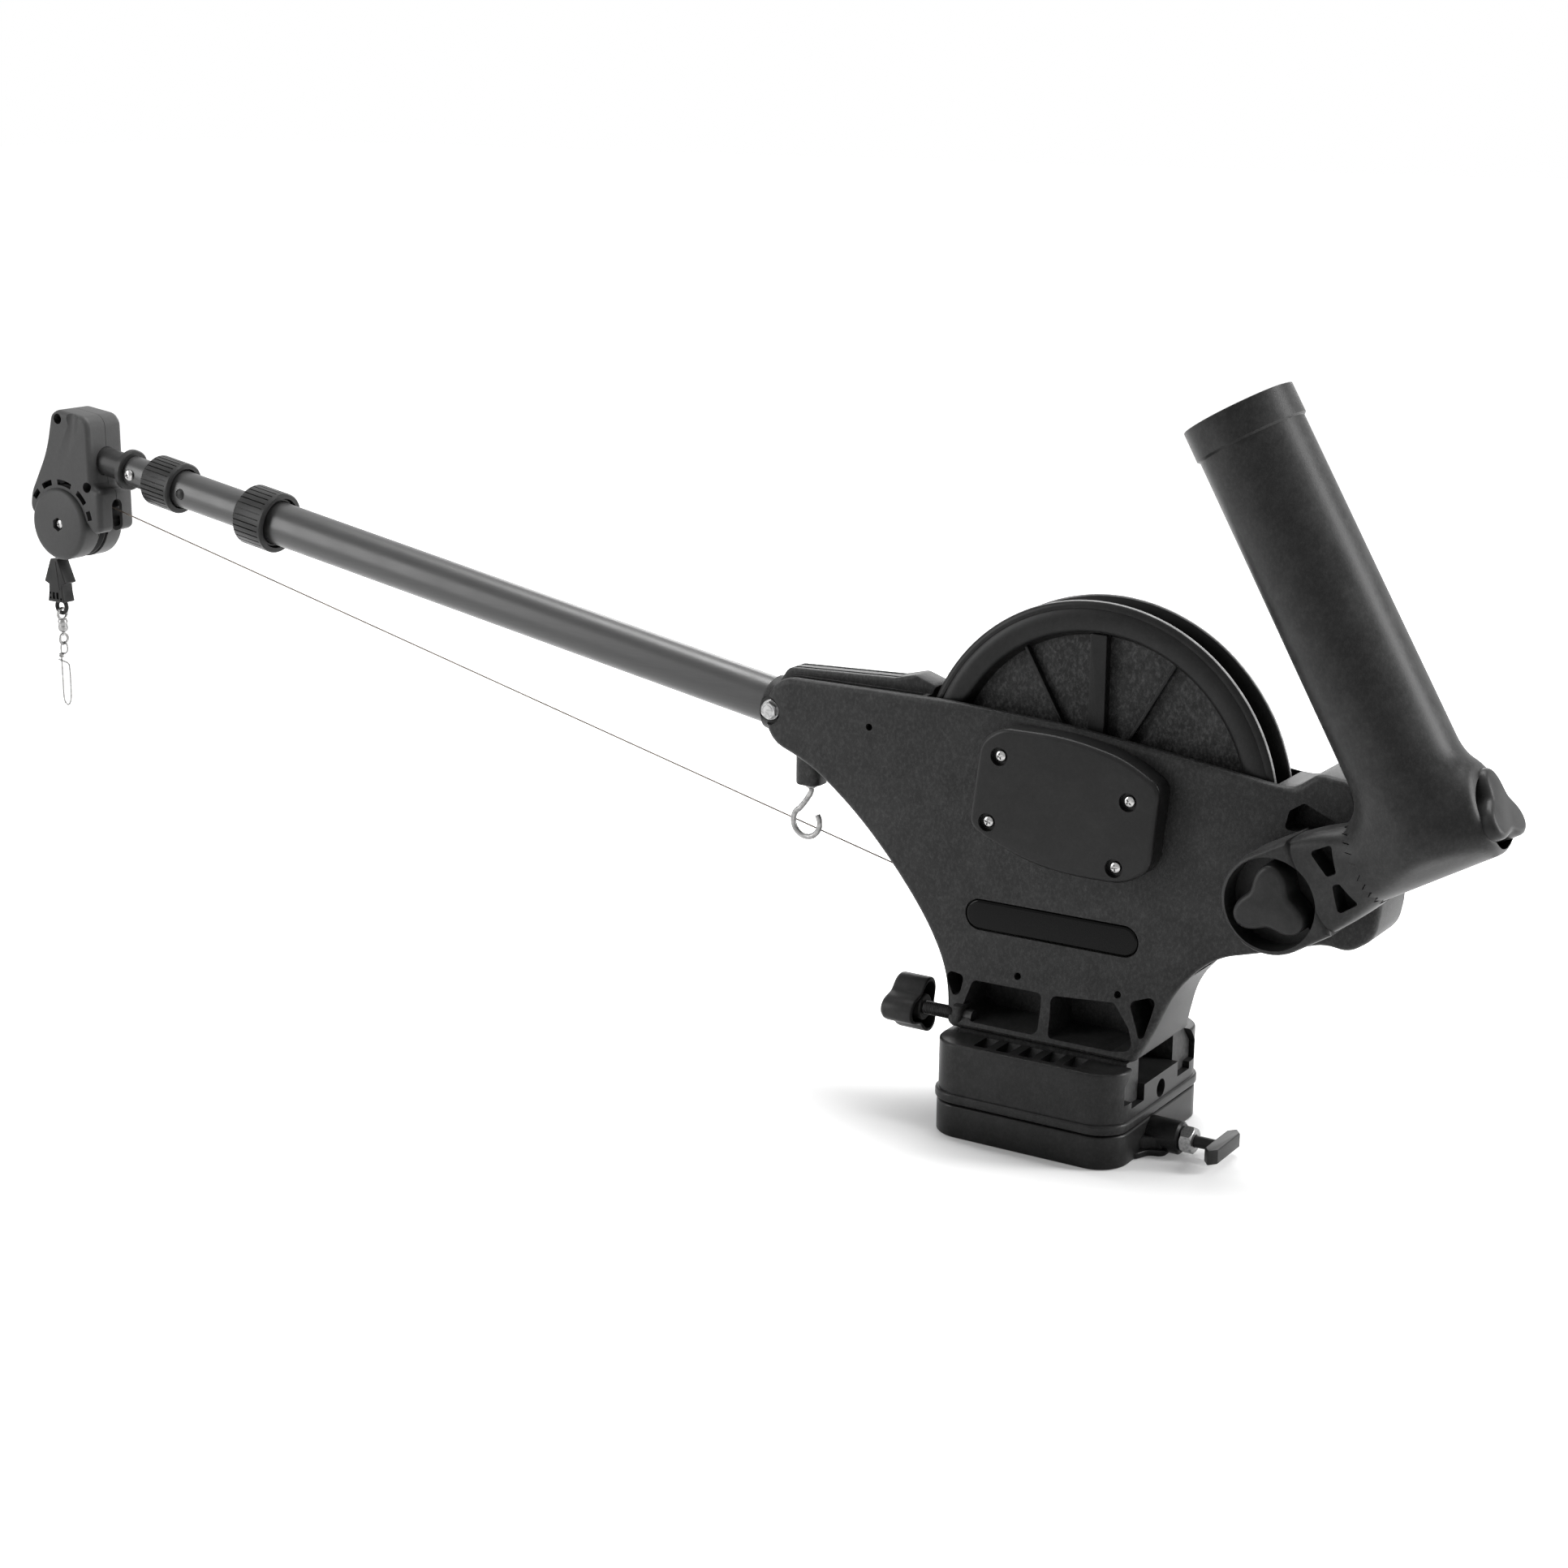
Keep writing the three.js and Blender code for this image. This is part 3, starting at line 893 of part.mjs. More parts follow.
// Crank arm, its grip on a spindle, and the star knob that sets the clutch, on the far side
{
  const at = [reel.x, reel.z];
  const armLow = crank.offset;
  const armHigh = armLow + crank.armThickness;
  const turn = THREE.MathUtils.degToRad(crank.angle);
  const tip = [reel.x + Math.cos(turn) * crank.length, reel.z + Math.sin(turn) * crank.length];
  const across = [-Math.sin(turn), Math.cos(turn)];
  const bore = cylinder('y', 0, armLow * 3, at, reel.shaftRadius + clearance);
  const lining = cylinder('y', armLow - crank.liningThickness - clearance, armLow - clearance, at,
    crank.liningRadius);
  piece('clutch_lining', cut(lining, bore), material.bronze);
  const blade = drawn(outline([
    [at[0] + across[0] * crank.hubRadius, at[1] + across[1] * crank.hubRadius],
    [at[0] - across[0] * crank.hubRadius, at[1] - across[1] * crank.hubRadius],
    [tip[0] - across[0] * crank.tipRadius, tip[1] - across[1] * crank.tipRadius],
    [tip[0] + across[0] * crank.tipRadius, tip[1] + across[1] * crank.tipRadius],
  ]), armLow, armHigh, clearance * 2);
  const hubBody = cylinder('y', armLow, armHigh, at, crank.hubRadius);
  const tipBody = cylinder('y', armLow, armHigh, tip, crank.tipRadius, facets.small);
  const spindleHole = cylinder('y', 0, armHigh * 2, tip, crank.spindleRadius + clearance, facets.small);
  piece('crank_arm', cut(join(blade, hubBody, tipBody), bore, spindleHole), material.dark);
  const gripStart = armHigh + clearance * 3;
  const gripEnd = gripStart + crank.knobLength;
  const gripShare = [[0.72, 0], [0.86, 0.03], [0.66, 0.16], [0.82, 0.45], [1, 0.75], [0.94, 0.92], [0.6,
    1]];
  const headDeep = crank.spindleHead / 2;
  const grip = turned('y', [[0, gripStart], ...gripShare.map(([r, h]) =>
    [r * crank.knobRadius, gripStart + h * crank.knobLength]), [0, gripEnd]], tip, 14);
  const gripBore = join(
    cylinder('y', 0, gripEnd + overrun, tip, crank.spindleRadius + clearance, facets.small),
    cylinder('y', gripEnd - headDeep - clearance, gripEnd + overrun, tip, crank.spindleHead + clearance,
      facets.round));
  piece('crank_knob', cut(grip, gripBore), material.dark);
  piece('crank_spindle', join(
    cylinder('y', armLow, gripEnd - headDeep + clearance, tip, crank.spindleRadius, facets.small),
    cylinder('y', gripEnd - headDeep, gripEnd - clearance, tip, crank.spindleHead, facets.small)),
      material.steel);
  const star = lobedKnob(crank.starRadius, crank.starDepth, crank.starGap * 2,
    crank.knobNeck + clearance * 4, 6, 0.2);
  const starStart = armHigh + crank.starGap;
  const starBore = cylinder('z', -overrun, crank.starDepth * 0.8, [0, 0], reel.shaftRadius + clearance);
  piece('clutch_knob', aimed(cut(star, starBore), [reel.x, starStart, reel.z], [0, 1, 0]), material.dark);
}

// Line counter: a housing with a window on top, three number wheels and their shaft
{
  const low = half + clearance;
  const high = low + counter.depth;
  const [x0, x1] = [counter.x - counter.length / 2, counter.x + counter.length / 2];
  const [z0, z1] = [counter.z - counter.height / 2, counter.z + counter.height / 2];
  const middle = [(low + high) / 2, counter.z];
  const body = drawn(outline([[x0, z0], [x1, z0], [x1, z1], [x0, z1]], counter.wall), low, high,
    counter.wall / 2);
  const room = box([x0 + counter.wall, low + counter.wall, z0 + counter.wall],
    [x1 - counter.wall, high - counter.wall, z1 - counter.wall]);
  const windowLow = [counter.x - counter.windowLength / 2, middle[0] - counter.windowDepth / 2,
    z1 - counter.wall * 2];
  const windowHigh = [counter.x + counter.windowLength / 2, middle[0] + counter.windowDepth / 2,
    z1 + overrun];
  const shaftHole = cylinder('x', x0 + counter.wall / 2, x1 - counter.wall / 2, middle,
    counter.shaftRadius + clearance, facets.small);
  piece('counter_housing', cut(body, room, box(windowLow, windowHigh), shaftHole), material.dark);
  const inWindow = windowLow.map((value) => value + clearance);
  piece('counter_lens', box([inWindow[0], inWindow[1], z1 - counter.lens],
    [windowHigh[0] - clearance, windowHigh[1] - clearance, z1 - clearance]), material.lens);
  const pitch = counter.wheelWidth + counter.wheelGap;
  for (let i = 0; i < 3; i += 1) {
    const x = counter.x + (i - 1) * pitch;
    const wheel = cylinder('x', x - counter.wheelWidth / 2, x + counter.wheelWidth / 2, middle,
      counter.wheelRadius,
      facets.small);
    piece(`counter_wheel_${i + 1}`, cut(wheel, cylinder('x', x0, x1, middle,
      counter.shaftRadius + clearance,
      facets.small)), material.white);
  }
  piece('counter_shaft', cylinder('x', x0 + counter.wall / 2 + clearance,
    x1 - counter.wall / 2 - clearance, middle,
    counter.shaftRadius, facets.small), material.steel);
}

// Boom tubes
{
  const boltBore = cylinder('y', -boom.outerRadius * 2, boom.outerRadius * 2, [0, 0],
    boom.boltRadius + clearance,
    facets.small);
  const tubeOf = (start, end, radius) => cut(alongBoom(start, end, radius),
    alongBoom(start - overrun, end + overrun, radius - boom.tubeWall));
  piece('boom_outer_tube', cut(tubeOf(-boom.insert, boom.outerReach, boom.outerRadius), boltBore),
    material.tube,
    boomGroup);
  const buttonBore = cylinder('y', -boom.middleRadius * 2, 0, [-buttonReach, 0],
    boomTrim.buttonRadius + clearance, facets.small);
  piece('boom_middle_tube', cut(tubeOf(boom.middleStart, middleReach, boom.middleRadius), buttonBore),
    material.tube, boomGroup);
  const neckBore = cylinder('y', -boom.innerRadius * 2, 0, [-screwReach, 0],
    boomTrim.screwRadius / 2 + clearance, facets.small);
  piece('boom_inner_tube', cut(tubeOf(boom.innerStart, innerReach, boom.innerRadius), neckBore),
    material.tube,
    boomGroup);
  const buttonFoot = -(boom.innerRadius + clearance * 2);
  piece('lock_button', turned('y', [[0, -boom.middleRadius - boomTrim.buttonHeight],
    [boomTrim.buttonRadius * 0.7, -boom.middleRadius - boomTrim.buttonHeight * 0.8],
    [boomTrim.buttonRadius, -boom.middleRadius - clearance], [boomTrim.buttonRadius, buttonFoot], [0,
      buttonFoot]],
    [-buttonReach, 0], facets.small), material.dark, boomGroup);
  const seat = -boom.innerRadius - clearance;
  const pan = turned('y', [[0, seat - boomTrim.screwHeight], [boomTrim.screwRadius * 0.7,
    seat - boomTrim.screwHeight * 0.8],
    [boomTrim.screwRadius, seat - boomTrim.screwHeight * 0.3], [boomTrim.screwRadius, seat], [0, seat]],
    [-screwReach, 0], facets.small);
  const shank = cylinder('y', seat - clearance, seat + boom.tubeWall * 2.4, [-screwReach, 0],
    boomTrim.screwRadius / 2, facets.tiny);
  piece('neck_screw', join(pan, shank), material.steel, boomGroup);
}

// Twist-lock collars over the ends of the outer and the middle tube
function lockCollar(name, radius, start, tubeRadius, tubeEnd, nextRadius) {
  const grooves = Array.from({ length: collar.ribs * 3 }, (_, i) => {
    const place = i % 3 - 1;
    const turn = Math.floor(i / 3) / collar.ribs * Math.PI * 2 + place * collar.grooveWidth / radius / 2;
    const reach = place === 0 ? radius - collar.grooveDepth : radius;
    return [Math.cos(turn) * reach, Math.sin(turn) * reach];
  });
  const fluted = raised(outline(grooves), 0, collar.length);
  const blank = turned('z', [[0, 0], [radius - collar.chamfer / 2, 0], [radius + overrun,
    collar.chamfer * 2],
    [radius + overrun, collar.length], [0, collar.length]], [0, 0]);
  const depth = collar.length - (tubeEnd - start) - clearance;
  const tubeSide = collar.length - depth;
  const bores = [
    cylinder('z', -overrun, collar.length + overrun, [0, 0], nextRadius + clearance),
    cylinder('z', collar.length - tubeSide, collar.length + overrun, [0, 0], tubeRadius + clearance),
    cylinder('z', collar.length - collar.cavityDepth, collar.length + overrun, [0, 0],
      radius - collar.cavityWall),
  ];
  // The collar is made with its front end at the bottom, then laid along the boom
  const body = cut(fluted.intersect(blank), ...bores);
  piece(name, aimed(body, [-start - collar.length, 0, 0], [1, 0, 0]), material.dark, boomGroup);
}
lockCollar('rear_lock_collar', collar.rearRadius, boom.outerReach - collar.rearInset, boom.outerRadius,
  boom.outerReach, boom.middleRadius);
lockCollar('front_lock_collar', collar.frontRadius, middleReach - collar.frontInset, boom.middleRadius,
  middleReach,
  boom.innerRadius);

// Neck that turns in the inner tube and carries the head
{
  const neckStart = screwReach - boom.boltHead * 3;
  const grooveHalf = boomTrim.screwRadius * 0.7;
  const fit = boom.innerRadius - boom.tubeWall - clearance;
  const ringEnd = ringStart + head.ringThickness;
  const collarEnd = keeperStart + head.collarThickness;
  const profile = [[0, neckStart], [fit, neckStart], [fit, screwReach - grooveHalf],
    [fit * 0.55, screwReach - grooveHalf], [fit * 0.55, screwReach + grooveHalf],
    [fit, screwReach + grooveHalf], [fit, ringStart], [head.neckRing, ringStart],
    [head.neckRing, ringEnd], [head.neckRadius, ringEnd], [head.neckRadius, keeperStart],
    [head.collarRadius, keeperStart], [head.collarRadius, collarEnd], [head.neckRadius, collarEnd],
    [head.neckRadius, neckReach], [0, neckReach]];
  const body = turned('x', profile.map(([r, out]) => [r, -out]), [0, 0], 14);
  piece('head_neck', body, material.dark, boomGroup);
}

// Head: a near and a far shell that hold the neck and cover both sides of the pulley
const axleAt = [axle.x, axle.z];
const headScale = head.height;
const headPlace = ([across, up]) => [axle.x + across * headScale, axle.z + up * headScale];
{
  const points = headOutlineShares.map(headPlace);
  const split = clearance / 2;
  const skin = drawn(outline(points, head.cornerRadius * 2), -head.halfWidth, head.halfWidth, head.edge, 1);
  const room = drawn(outline(inset(points, head.wall), head.cornerRadius), head.wall - head.halfWidth,
    head.halfWidth - head.wall, 0, 1);
  const neckHole = moved(alongBoom(ringStart, neckReach + clearance * 2, head.neckRadius + clearance),
    onBoom);
  const neckBoss = moved(alongBoom(keeperStart - overrun * 2, neckReach + overrun,
    head.bossRadius * 1.1), onBoom);
  const collarHole = moved(alongBoom(keeperStart - clearance,
    keeperStart + head.collarThickness + clearance,
    head.collarRadius + clearance), onBoom);
  const posts = headPostShares.map((share) => cylinder('y', -head.halfWidth + head.edge,
    head.halfWidth - head.edge,
    headPlace(share), head.postRadius, facets.tiny));
  const discs = turned('y', [[0, -head.halfWidth - head.discProud],
    [head.discRadius - head.discEdge, -head.halfWidth - head.discProud],
    [head.discRadius, -head.halfWidth - head.discProud + head.discEdge],
    [head.discRadius, head.halfWidth + head.discProud - head.discEdge],
    [head.discRadius - head.discEdge, head.halfWidth + head.discProud], [0,
      head.halfWidth + head.discProud]],
    axleAt, 24);
  const inSkin = join(neckBoss, ...posts).intersect(skin);
  const solidHead = join(cut(skin, room), inSkin, discs);
  const pulleyRoom = cylinder('y', -head.discInner, head.discInner, axleAt,
    head.discRadius + clearance * 4, facets.round);
  const cableEntry = join(
    box([axle.x, -head.slotHalf, axle.z - head.slotBottom],
      [axle.x + headScale, head.slotHalf, axle.z + head.slotTop - head.slotHalf]),
    cylinder('x', axle.x, axle.x + headScale, [0, axle.z + head.slotTop - head.slotHalf], head.slotHalf,
      facets.small));
  const axleHole = cylinder('y', head.discInner * 2 - head.halfWidth * 1.4,
    head.halfWidth - head.hexDepth / 2, axleAt,
    pulley.axleRadius + clearance, facets.small);
  const screwHole = cylinder('y', -head.halfWidth * 2, 0, axleAt, pulley.axleRadius * 0.6, facets.tiny);
  const recessFloor = head.halfWidth + head.discProud - head.hexDepth;
  const hexRecess = solid(geometryOf(raised(hexagon(head.hexAcross), recessFloor, recessFloor * 2))
    .rotateX(Math.PI / 2).translate(axle.x, 0, axle.z));
  const postHoles = headPostShares.map((share) => cylinder('y', -head.halfWidth * 2, head.halfWidth / 2,
    headPlace(share), head.holeRadius, facets.tiny));
  const arcs = arcSlotShares.map(([from, to]) => {
    const shape = new THREE.Shape();
    const a = THREE.MathUtils.degToRad(from);
    const b = THREE.MathUtils.degToRad(to);
    shape.absarc(0, 0, head.arcRadius + head.arcWidth / 2, a, b);
    shape.absarc(0, 0, head.arcRadius - head.arcWidth / 2, b, a, true);
    const reach = head.halfWidth * 2;
    return solid(geometryOf(drawn(shape, -reach, reach, 0, 1)).translate(axle.x, 0, axle.z));
  });
  const whole = cut(solidHead, neckHole, collarHole, pulleyRoom, cableEntry, axleHole, screwHole, hexRecess,
    ...postHoles, ...arcs);
  const far = head.halfWidth * 3;
  const reachX = headScale * 2;
  const sideOf = (low, high) => box([axle.x - reachX, low, axle.z - reachX],
    [axle.x + reachX, high, axle.z + reachX]);
  piece('head_near_shell', whole.intersect(sideOf(-far, -split)), material.dark);
  piece('head_far_shell', whole.intersect(sideOf(split, far)), material.dark);
}

// Pulley, and the axle screw it runs on
{
  const { radius: r, groove: g, halfWidth: w, grooveHalf: n } = pulley;
  const wheel = turned('y', [[pulley.axleRadius + clearance, -w], [r, -w], [r, -w * 0.75], [g, -n], [g, n],
    [r, w * 0.75], [r, w], [pulley.axleRadius + clearance, w], [pulley.axleRadius + clearance, -w]],
      axleAt, 18);
  piece('pulley', wheel, material.white);
  const low = clearance + head.discInner * 2 - head.halfWidth * 1.4;
  const pin = cylinder('y', low, head.halfWidth - head.hexDepth / 2 - clearance, axleAt, pulley.axleRadius,
    facets.small);
  const seat = -(head.halfWidth + head.discProud - head.hexDepth) - clearance;
  piece('pulley_axle', join(pin,
    turned('y', [[0, seat - pulley.capHeight], [pulley.capHead * 0.7, seat - pulley.capHeight * 0.8],
      [pulley.capHead, seat - pulley.capHeight * 0.3], [pulley.capHead, seat], [0, seat]], axleAt,
        facets.small),
    cylinder('y', seat - clearance, 0, axleAt, pulley.axleRadius * 0.45, facets.tiny)), material.steel);
}

// Cable: the run from the reel over the pulley, and the drop to the sleeve
const dropX = axle.x - pulleyPitch;
{
  const clearOfWinding = Math.sqrt((winding.cable + clearance) * winding.radius * 2) + clearance;
  const start = [run.rear[0] - run.along[0] * clearOfWinding, 0,
    run.rear[1] - run.along[1] * clearOfWinding];
  const length = Math.hypot(run.front[0] - start[0], run.front[1] - start[2]);
  const straight = aimed(cylinder('z', 0, length, [0, 0], cableRadius, 6), start, [-run.along[0], 0,
    -run.along[1]]);
  const from = Math.PI / 2 + run.slope;
  class OverPulley extends THREE.Curve {
    getPoint(t, target = new THREE.Vector3()) {
      const turn = from + (Math.PI - from) * t;
      return target.set(axle.x + Math.cos(turn) * pulleyPitch, 0, axle.z + Math.sin(turn) * pulleyPitch);
    }
  }
  piece('cable_run', join(straight, wire(new OverPulley(), cableRadius, 6, 9)), material.cable);
  piece('cable_drop', cylinder('z', sleeve.top - sleeve.boreDepth + clearance, axle.z - clearance,
    [dropX, 0],
    cableRadius, 6), material.cable);
}

// Cable end: barbed sleeve, barrel swivel with its eyes, and a wire snap
{
  const s = sleeve;
  const body = turned('z', [[0, s.blockBottom], [s.blockRadius * 0.8, s.blockBottom], [s.blockRadius,
    s.blockBottom + s.edge],
    [s.blockRadius, s.blockTop], [s.neckRadius, s.blockTop], [s.neckRadius, s.barb - s.barbDrop],
    [s.barbRadius, s.barb - s.barbDrop / 2], [s.barbRadius, s.barb], [s.neckRadius, s.neckTop],
      [s.topRadius, s.top],
    [s.boreRadius, s.top], [s.boreRadius, s.top - s.boreDepth], [0, s.top - s.boreDepth]], [dropX, 0],
      facets.small);
  const ring = (radius, wireRadius, z, acrossX) => {
    const shape = new THREE.TorusGeometry(radius, wireRadius, 5, 12);
    if (acrossX) shape.rotateY(Math.PI / 2);
    else shape.rotateX(Math.PI / 2);
    return solid(shape.translate(dropX, 0, z));
  };
  const loopZ = s.blockBottom - eye.topRadius + eye.wire / 2;
  piece('terminator', join(body, ring(eye.topRadius, eye.wire, loopZ, false)), material.dark);
  const upperZ = loopZ - eye.topRadius + eye.wire * 2 + clearance - eye.topRadius;
  const barrelTop = upperZ - eye.topRadius + eye.wire / 2;
  const barrelLow = barrelTop - eye.barrelLength;
  const barrel = turned('z', [[0, barrelLow], [eye.barrelRadius * 0.75, barrelLow], [eye.barrelRadius,
    barrelLow + eye.barrelEdge],
    [eye.barrelRadius, barrelTop - eye.barrelEdge], [eye.barrelRadius * 0.6, barrelTop], [0, barrelTop]],
      [dropX, 0], facets.small);
  const stemHole = join(cylinder('z', barrelLow - overrun, barrelLow + eye.barrelLength / 2, [dropX, 0],
    eye.wire + clearance, facets.tiny), cylinder('z', barrelLow + eye.barrelLength / 3,
      barrelLow + eye.barrelLength / 2, [dropX, 0],
    eye.wire * 2, facets.tiny));
  piece('barrel_swivel', join(cut(barrel, stemHole), ring(eye.topRadius, eye.wire, upperZ, true)),
    material.steel);
  const lowerZ = barrelLow - clearance - eye.bottomRadius - eye.wire;
  const stem = join(cylinder('z', lowerZ + eye.bottomRadius, barrelLow +
    eye.barrelLength / 2 - clearance, [dropX, 0],
    eye.wire, facets.tiny), cylinder('z', barrelLow + eye.barrelLength / 3 + clearance,
      barrelLow + eye.barrelLength / 2 - clearance,
    [dropX, 0], eye.wire * 1.7, facets.tiny));
  piece('swivel_eye', join(stem, ring(eye.bottomRadius, eye.wire, lowerZ, true)), material.steel);
  const topZ = lowerZ - eye.bottomRadius + eye.wire + snap.wire + clearance * 2;
  const drop = (share) => topZ - share * (topZ - snap.bottom);
  piece('snap', wire(smoothCurve(snapShares.map(([dx, down]) => [dropX + dx * snap.half, 0,
    drop(down)])), snap.wire, 5, 28),
    material.steel);
}

// Rod holder. Its own directions: X along the arm, Z up the tube, from the arm's pivot.
const tilt = THREE.MathUtils.degToRad(rod.tilt);
const onRod = new THREE.Matrix4().makeRotationY(-tilt).setPosition(rod.pivotX, 0, rod.pivotZ);
const rodGroup = new THREE.Group();
onRod.decompose(rodGroup.position, rodGroup.quaternion, rodGroup.scale);
downrigger.add(rodGroup);
const ringOf = (count, radius, depth) => Array.from({ length: count * 2 }, (_, i) => {
  const turn = i / count * Math.PI;
  const reach = i % 2 ? radius : radius - depth;
  return [Math.cos(turn) * reach, Math.sin(turn) * reach];
});

// Zigzag teeth on a round face: a crown round the X axis, its tips at a place along it
function crown(from, to, radius, teeth) {
  const steps = teeth * 2;
  const place = [];
  const corners = [];
  const at = (turn, r, x) => [x, rod.centreY + Math.cos(turn) * r, Math.sin(turn) * r];
  for (let i = 0; i < steps; i += 1) {
    const turn = i / steps * Math.PI * 2;
    const high = i % 2 ? to : from + (to - from) * 0.1;
    place.push(...at(turn, radius, from - rod.edge), ...at(turn, radius, high));
  }
  const base = steps * 2;
  place.push(from - rod.edge, rod.centreY, 0, from, rod.centreY, 0);
  for (let i = 0; i < steps; i += 1) {
    const [a, b] = [i * 2, ((i + 1) % steps) * 2];
    corners.push(a, b, b + 1, a, b + 1, a + 1, base, b, a, base + 1, a + 1, b + 1);
  }
  const geometry = new THREE.BufferGeometry();
  geometry.setAttribute('position', new THREE.BufferAttribute(new Float32Array(place), 3));
  geometry.setIndex(corners);
  return solid(geometry);
}

// Rod holder arm
{
  const hub = outline(Array.from({ length: 11 }, (_, i) => {
    const turn = Math.PI / 2 + i / 10 * Math.PI;
    return [Math.cos(turn) * rod.hubRadius, Math.sin(turn) * rod.hubRadius];
  }).concat([[rod.bodyEnd, -rod.hubRadius * 0.96], [rod.bodyEnd, rod.hubRadius * 0.96]]));
  const body = drawn(hub, rod.outer, rod.inner, rod.edge, 1);
  const section = (halfY, halfZ, middleY, power) => Array.from({ length: 16 }, (_, i) => {
    const turn = i / 16 * Math.PI * 2;
    const [c, s] = [Math.cos(turn), Math.sin(turn)];
    const round = (v) => Math.sign(v) * Math.abs(v) ** (2 / power);
    return [middleY + halfY * round(c), halfZ * round(s)];
  });
  const middleY = (rod.inner + rod.outer) / 2;
  const halfY = (rod.inner - rod.outer) / 2;
  const neckStart = rod.bodyEnd - rod.edge * 4;
  const stages = [[0, 8], [0.5, 4], [1, 2]].map(([t, power]) => {
    const x = neckStart + (rod.faceReach - neckStart) * t;
    const mix = (a, b) => a + (b - a) * t * t;
    return [x, section(mix(halfY - rod.edge / 2, rod.faceRadius), mix(rod.hubRadius * 0.95, rod.faceRadius),
      mix(middleY, rod.centreY), power)];
  });
  // Levels rise along Z, so the neck is made upright and laid along X
  const neck = solid(geometryOf(loft(stages.map(([x, ring]) => [x, ring.map(([y, z]) => [z, -y])])))
    .applyMatrix4(new THREE.Matrix4().set(0, 0, 1, 0, 0, -1, 0, 0, 1, 0, 0, 0, 0, 0, 0, 1)));
  const disc = drawn(outline(ringOf(rod.rimTeeth, rod.discRadius, rod.rimToothDepth)),
    rod.inner - clearance,
    -half - rod.earGap, 0);
  const pocket = cylinder('y', rod.outer - overrun, rod.pocketFloor, [0, 0], rod.pocketRadius);
  const boltHole = cylinder('y', rod.outer, 0, [0, 0], rod.boltRadius + clearance, facets.small);
  const arcs = rodArcShares.map(([from, to]) => {
    const shape = new THREE.Shape();
    const [a, b] = [from, to].map(THREE.MathUtils.degToRad);
    shape.absarc(0, 0, rod.arcRadius + rod.arcWidth / 2, a, b);
    shape.absarc(0, 0, rod.arcRadius - rod.arcWidth / 2, b, a, true);
    return drawn(shape, rod.pocketFloor - overrun, rod.pocketFloor + rod.arcDepth, 0, 5);
  });
  const windows = [1, -1].map((side) => drawn(outline([
    ...rodWindowShares].map(([along, up]) => [along * rod.hubRadius, side * up * rod.hubRadius]), rod.edge),
  rod.outer * 2, 0, 0, 1));
  const faceBolt = cylinder('x', rod.faceReach - rod.boltHeadHeight * 3, rod.faceReach + overrun,
    [rod.centreY, 0],
    rod.boltRadius + clearance, facets.small);
  piece('rod_arm', cut(join(body, neck, disc), pocket, boltHole, ...arcs, ...windows, faceBolt),
    material.frame, rodGroup);
  piece('arm_bolt', join(
    hexAcrossY(rod.boltHead, half + clearance, half + clearance + rod.boltHeadHeight, [0, 0]),
    cylinder('y', rod.pocketFloor - rod.knobDepth * 0.6, half + clearance * 2, [0, 0], rod.boltRadius,
      facets.small)),
    material.zinc, rodGroup);
}

// Rod tube
{
  const z1 = rod.tubeLength;
  const toRod = onRod.clone().invert();
  const axis = [rod.tubeReach, rod.centreY];
  const outerTube = cylinder('z', 0, z1, axis, rod.tubeFoot, facets.fine, rod.tubeRadius);
  const rim = cylinder('z', z1 - rod.rimLength, z1, axis, rod.rimRadius, facets.fine);
  const barrelStart = rod.faceReach + clearance;
  const barrel = cylinder('x', barrelStart, rod.tubeReach + rod.tubeFoot, [rod.centreY, 0],
    rod.faceRadius, 20);
  const bore = cylinder('z', rod.floor, z1 + overrun, axis, rod.tubeRadius - rod.tubeWall, facets.fine);
  const mouth = cylinder('x', rod.mouthFloor, rod.tubeReach + rod.tubeFoot * 2, [rod.centreY, 0],
    rod.mouthRadius);
  const boltHole = cylinder('x', 0, rod.tubeReach * 2, [rod.centreY, 0], rod.boltRadius + clearance,
    facets.small);
  const reach = rod.tubeLength * 2;
  const behind = moved(box([rod.cutX, -reach, -reach], [rod.cutX + reach, reach, reach]), toRod);
  const body = cut(join(outerTube, rim, barrel), bore, mouth, boltHole, behind);
  piece('rod_tube', body, material.frame, rodGroup);
}

// The two lobed knobs that clamp the rod holder's joints
{
  const near = cut(lobedKnob(rod.knobRadius, rod.knobDepth, rod.knobWall, rod.knobHub),
    cylinder('z', -overrun, rod.knobDepth * 0.7, [0, 0], rod.boltRadius + clearance, facets.small));
  piece('arm_knob', aimed(near, [0, rod.pocketFloor - clearance * 2, 0], [0, -1, 0]), material.dark,
    rodGroup);
  const neckLow = rod.mouthFloor + clearance - rod.rearKnobStart;
  const studEnd = rod.faceReach - rod.boltHeadHeight * 2 - rod.rearKnobStart;
  const rear = join(lobedKnob(rod.knobRadius, rod.knobDepth, rod.knobWall, rod.knobHub),
    cylinder('z', neckLow, rod.knobWall, [0, 0], rod.rearKnobHub, facets.small),
    cylinder('z', studEnd, 0, [0, 0], rod.boltRadius, facets.small));
  piece('tube_knob', aimed(rear, [rod.rearKnobStart, rod.centreY, 0], [1, 0, 0]), material.dark, rodGroup);
}

export default downrigger;
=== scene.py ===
import json
from math import acos, atan2, copysign, cos, hypot, pi, radians, sin, sqrt, tan, tau

import bmesh
import bpy
from mathutils import Matrix, Vector

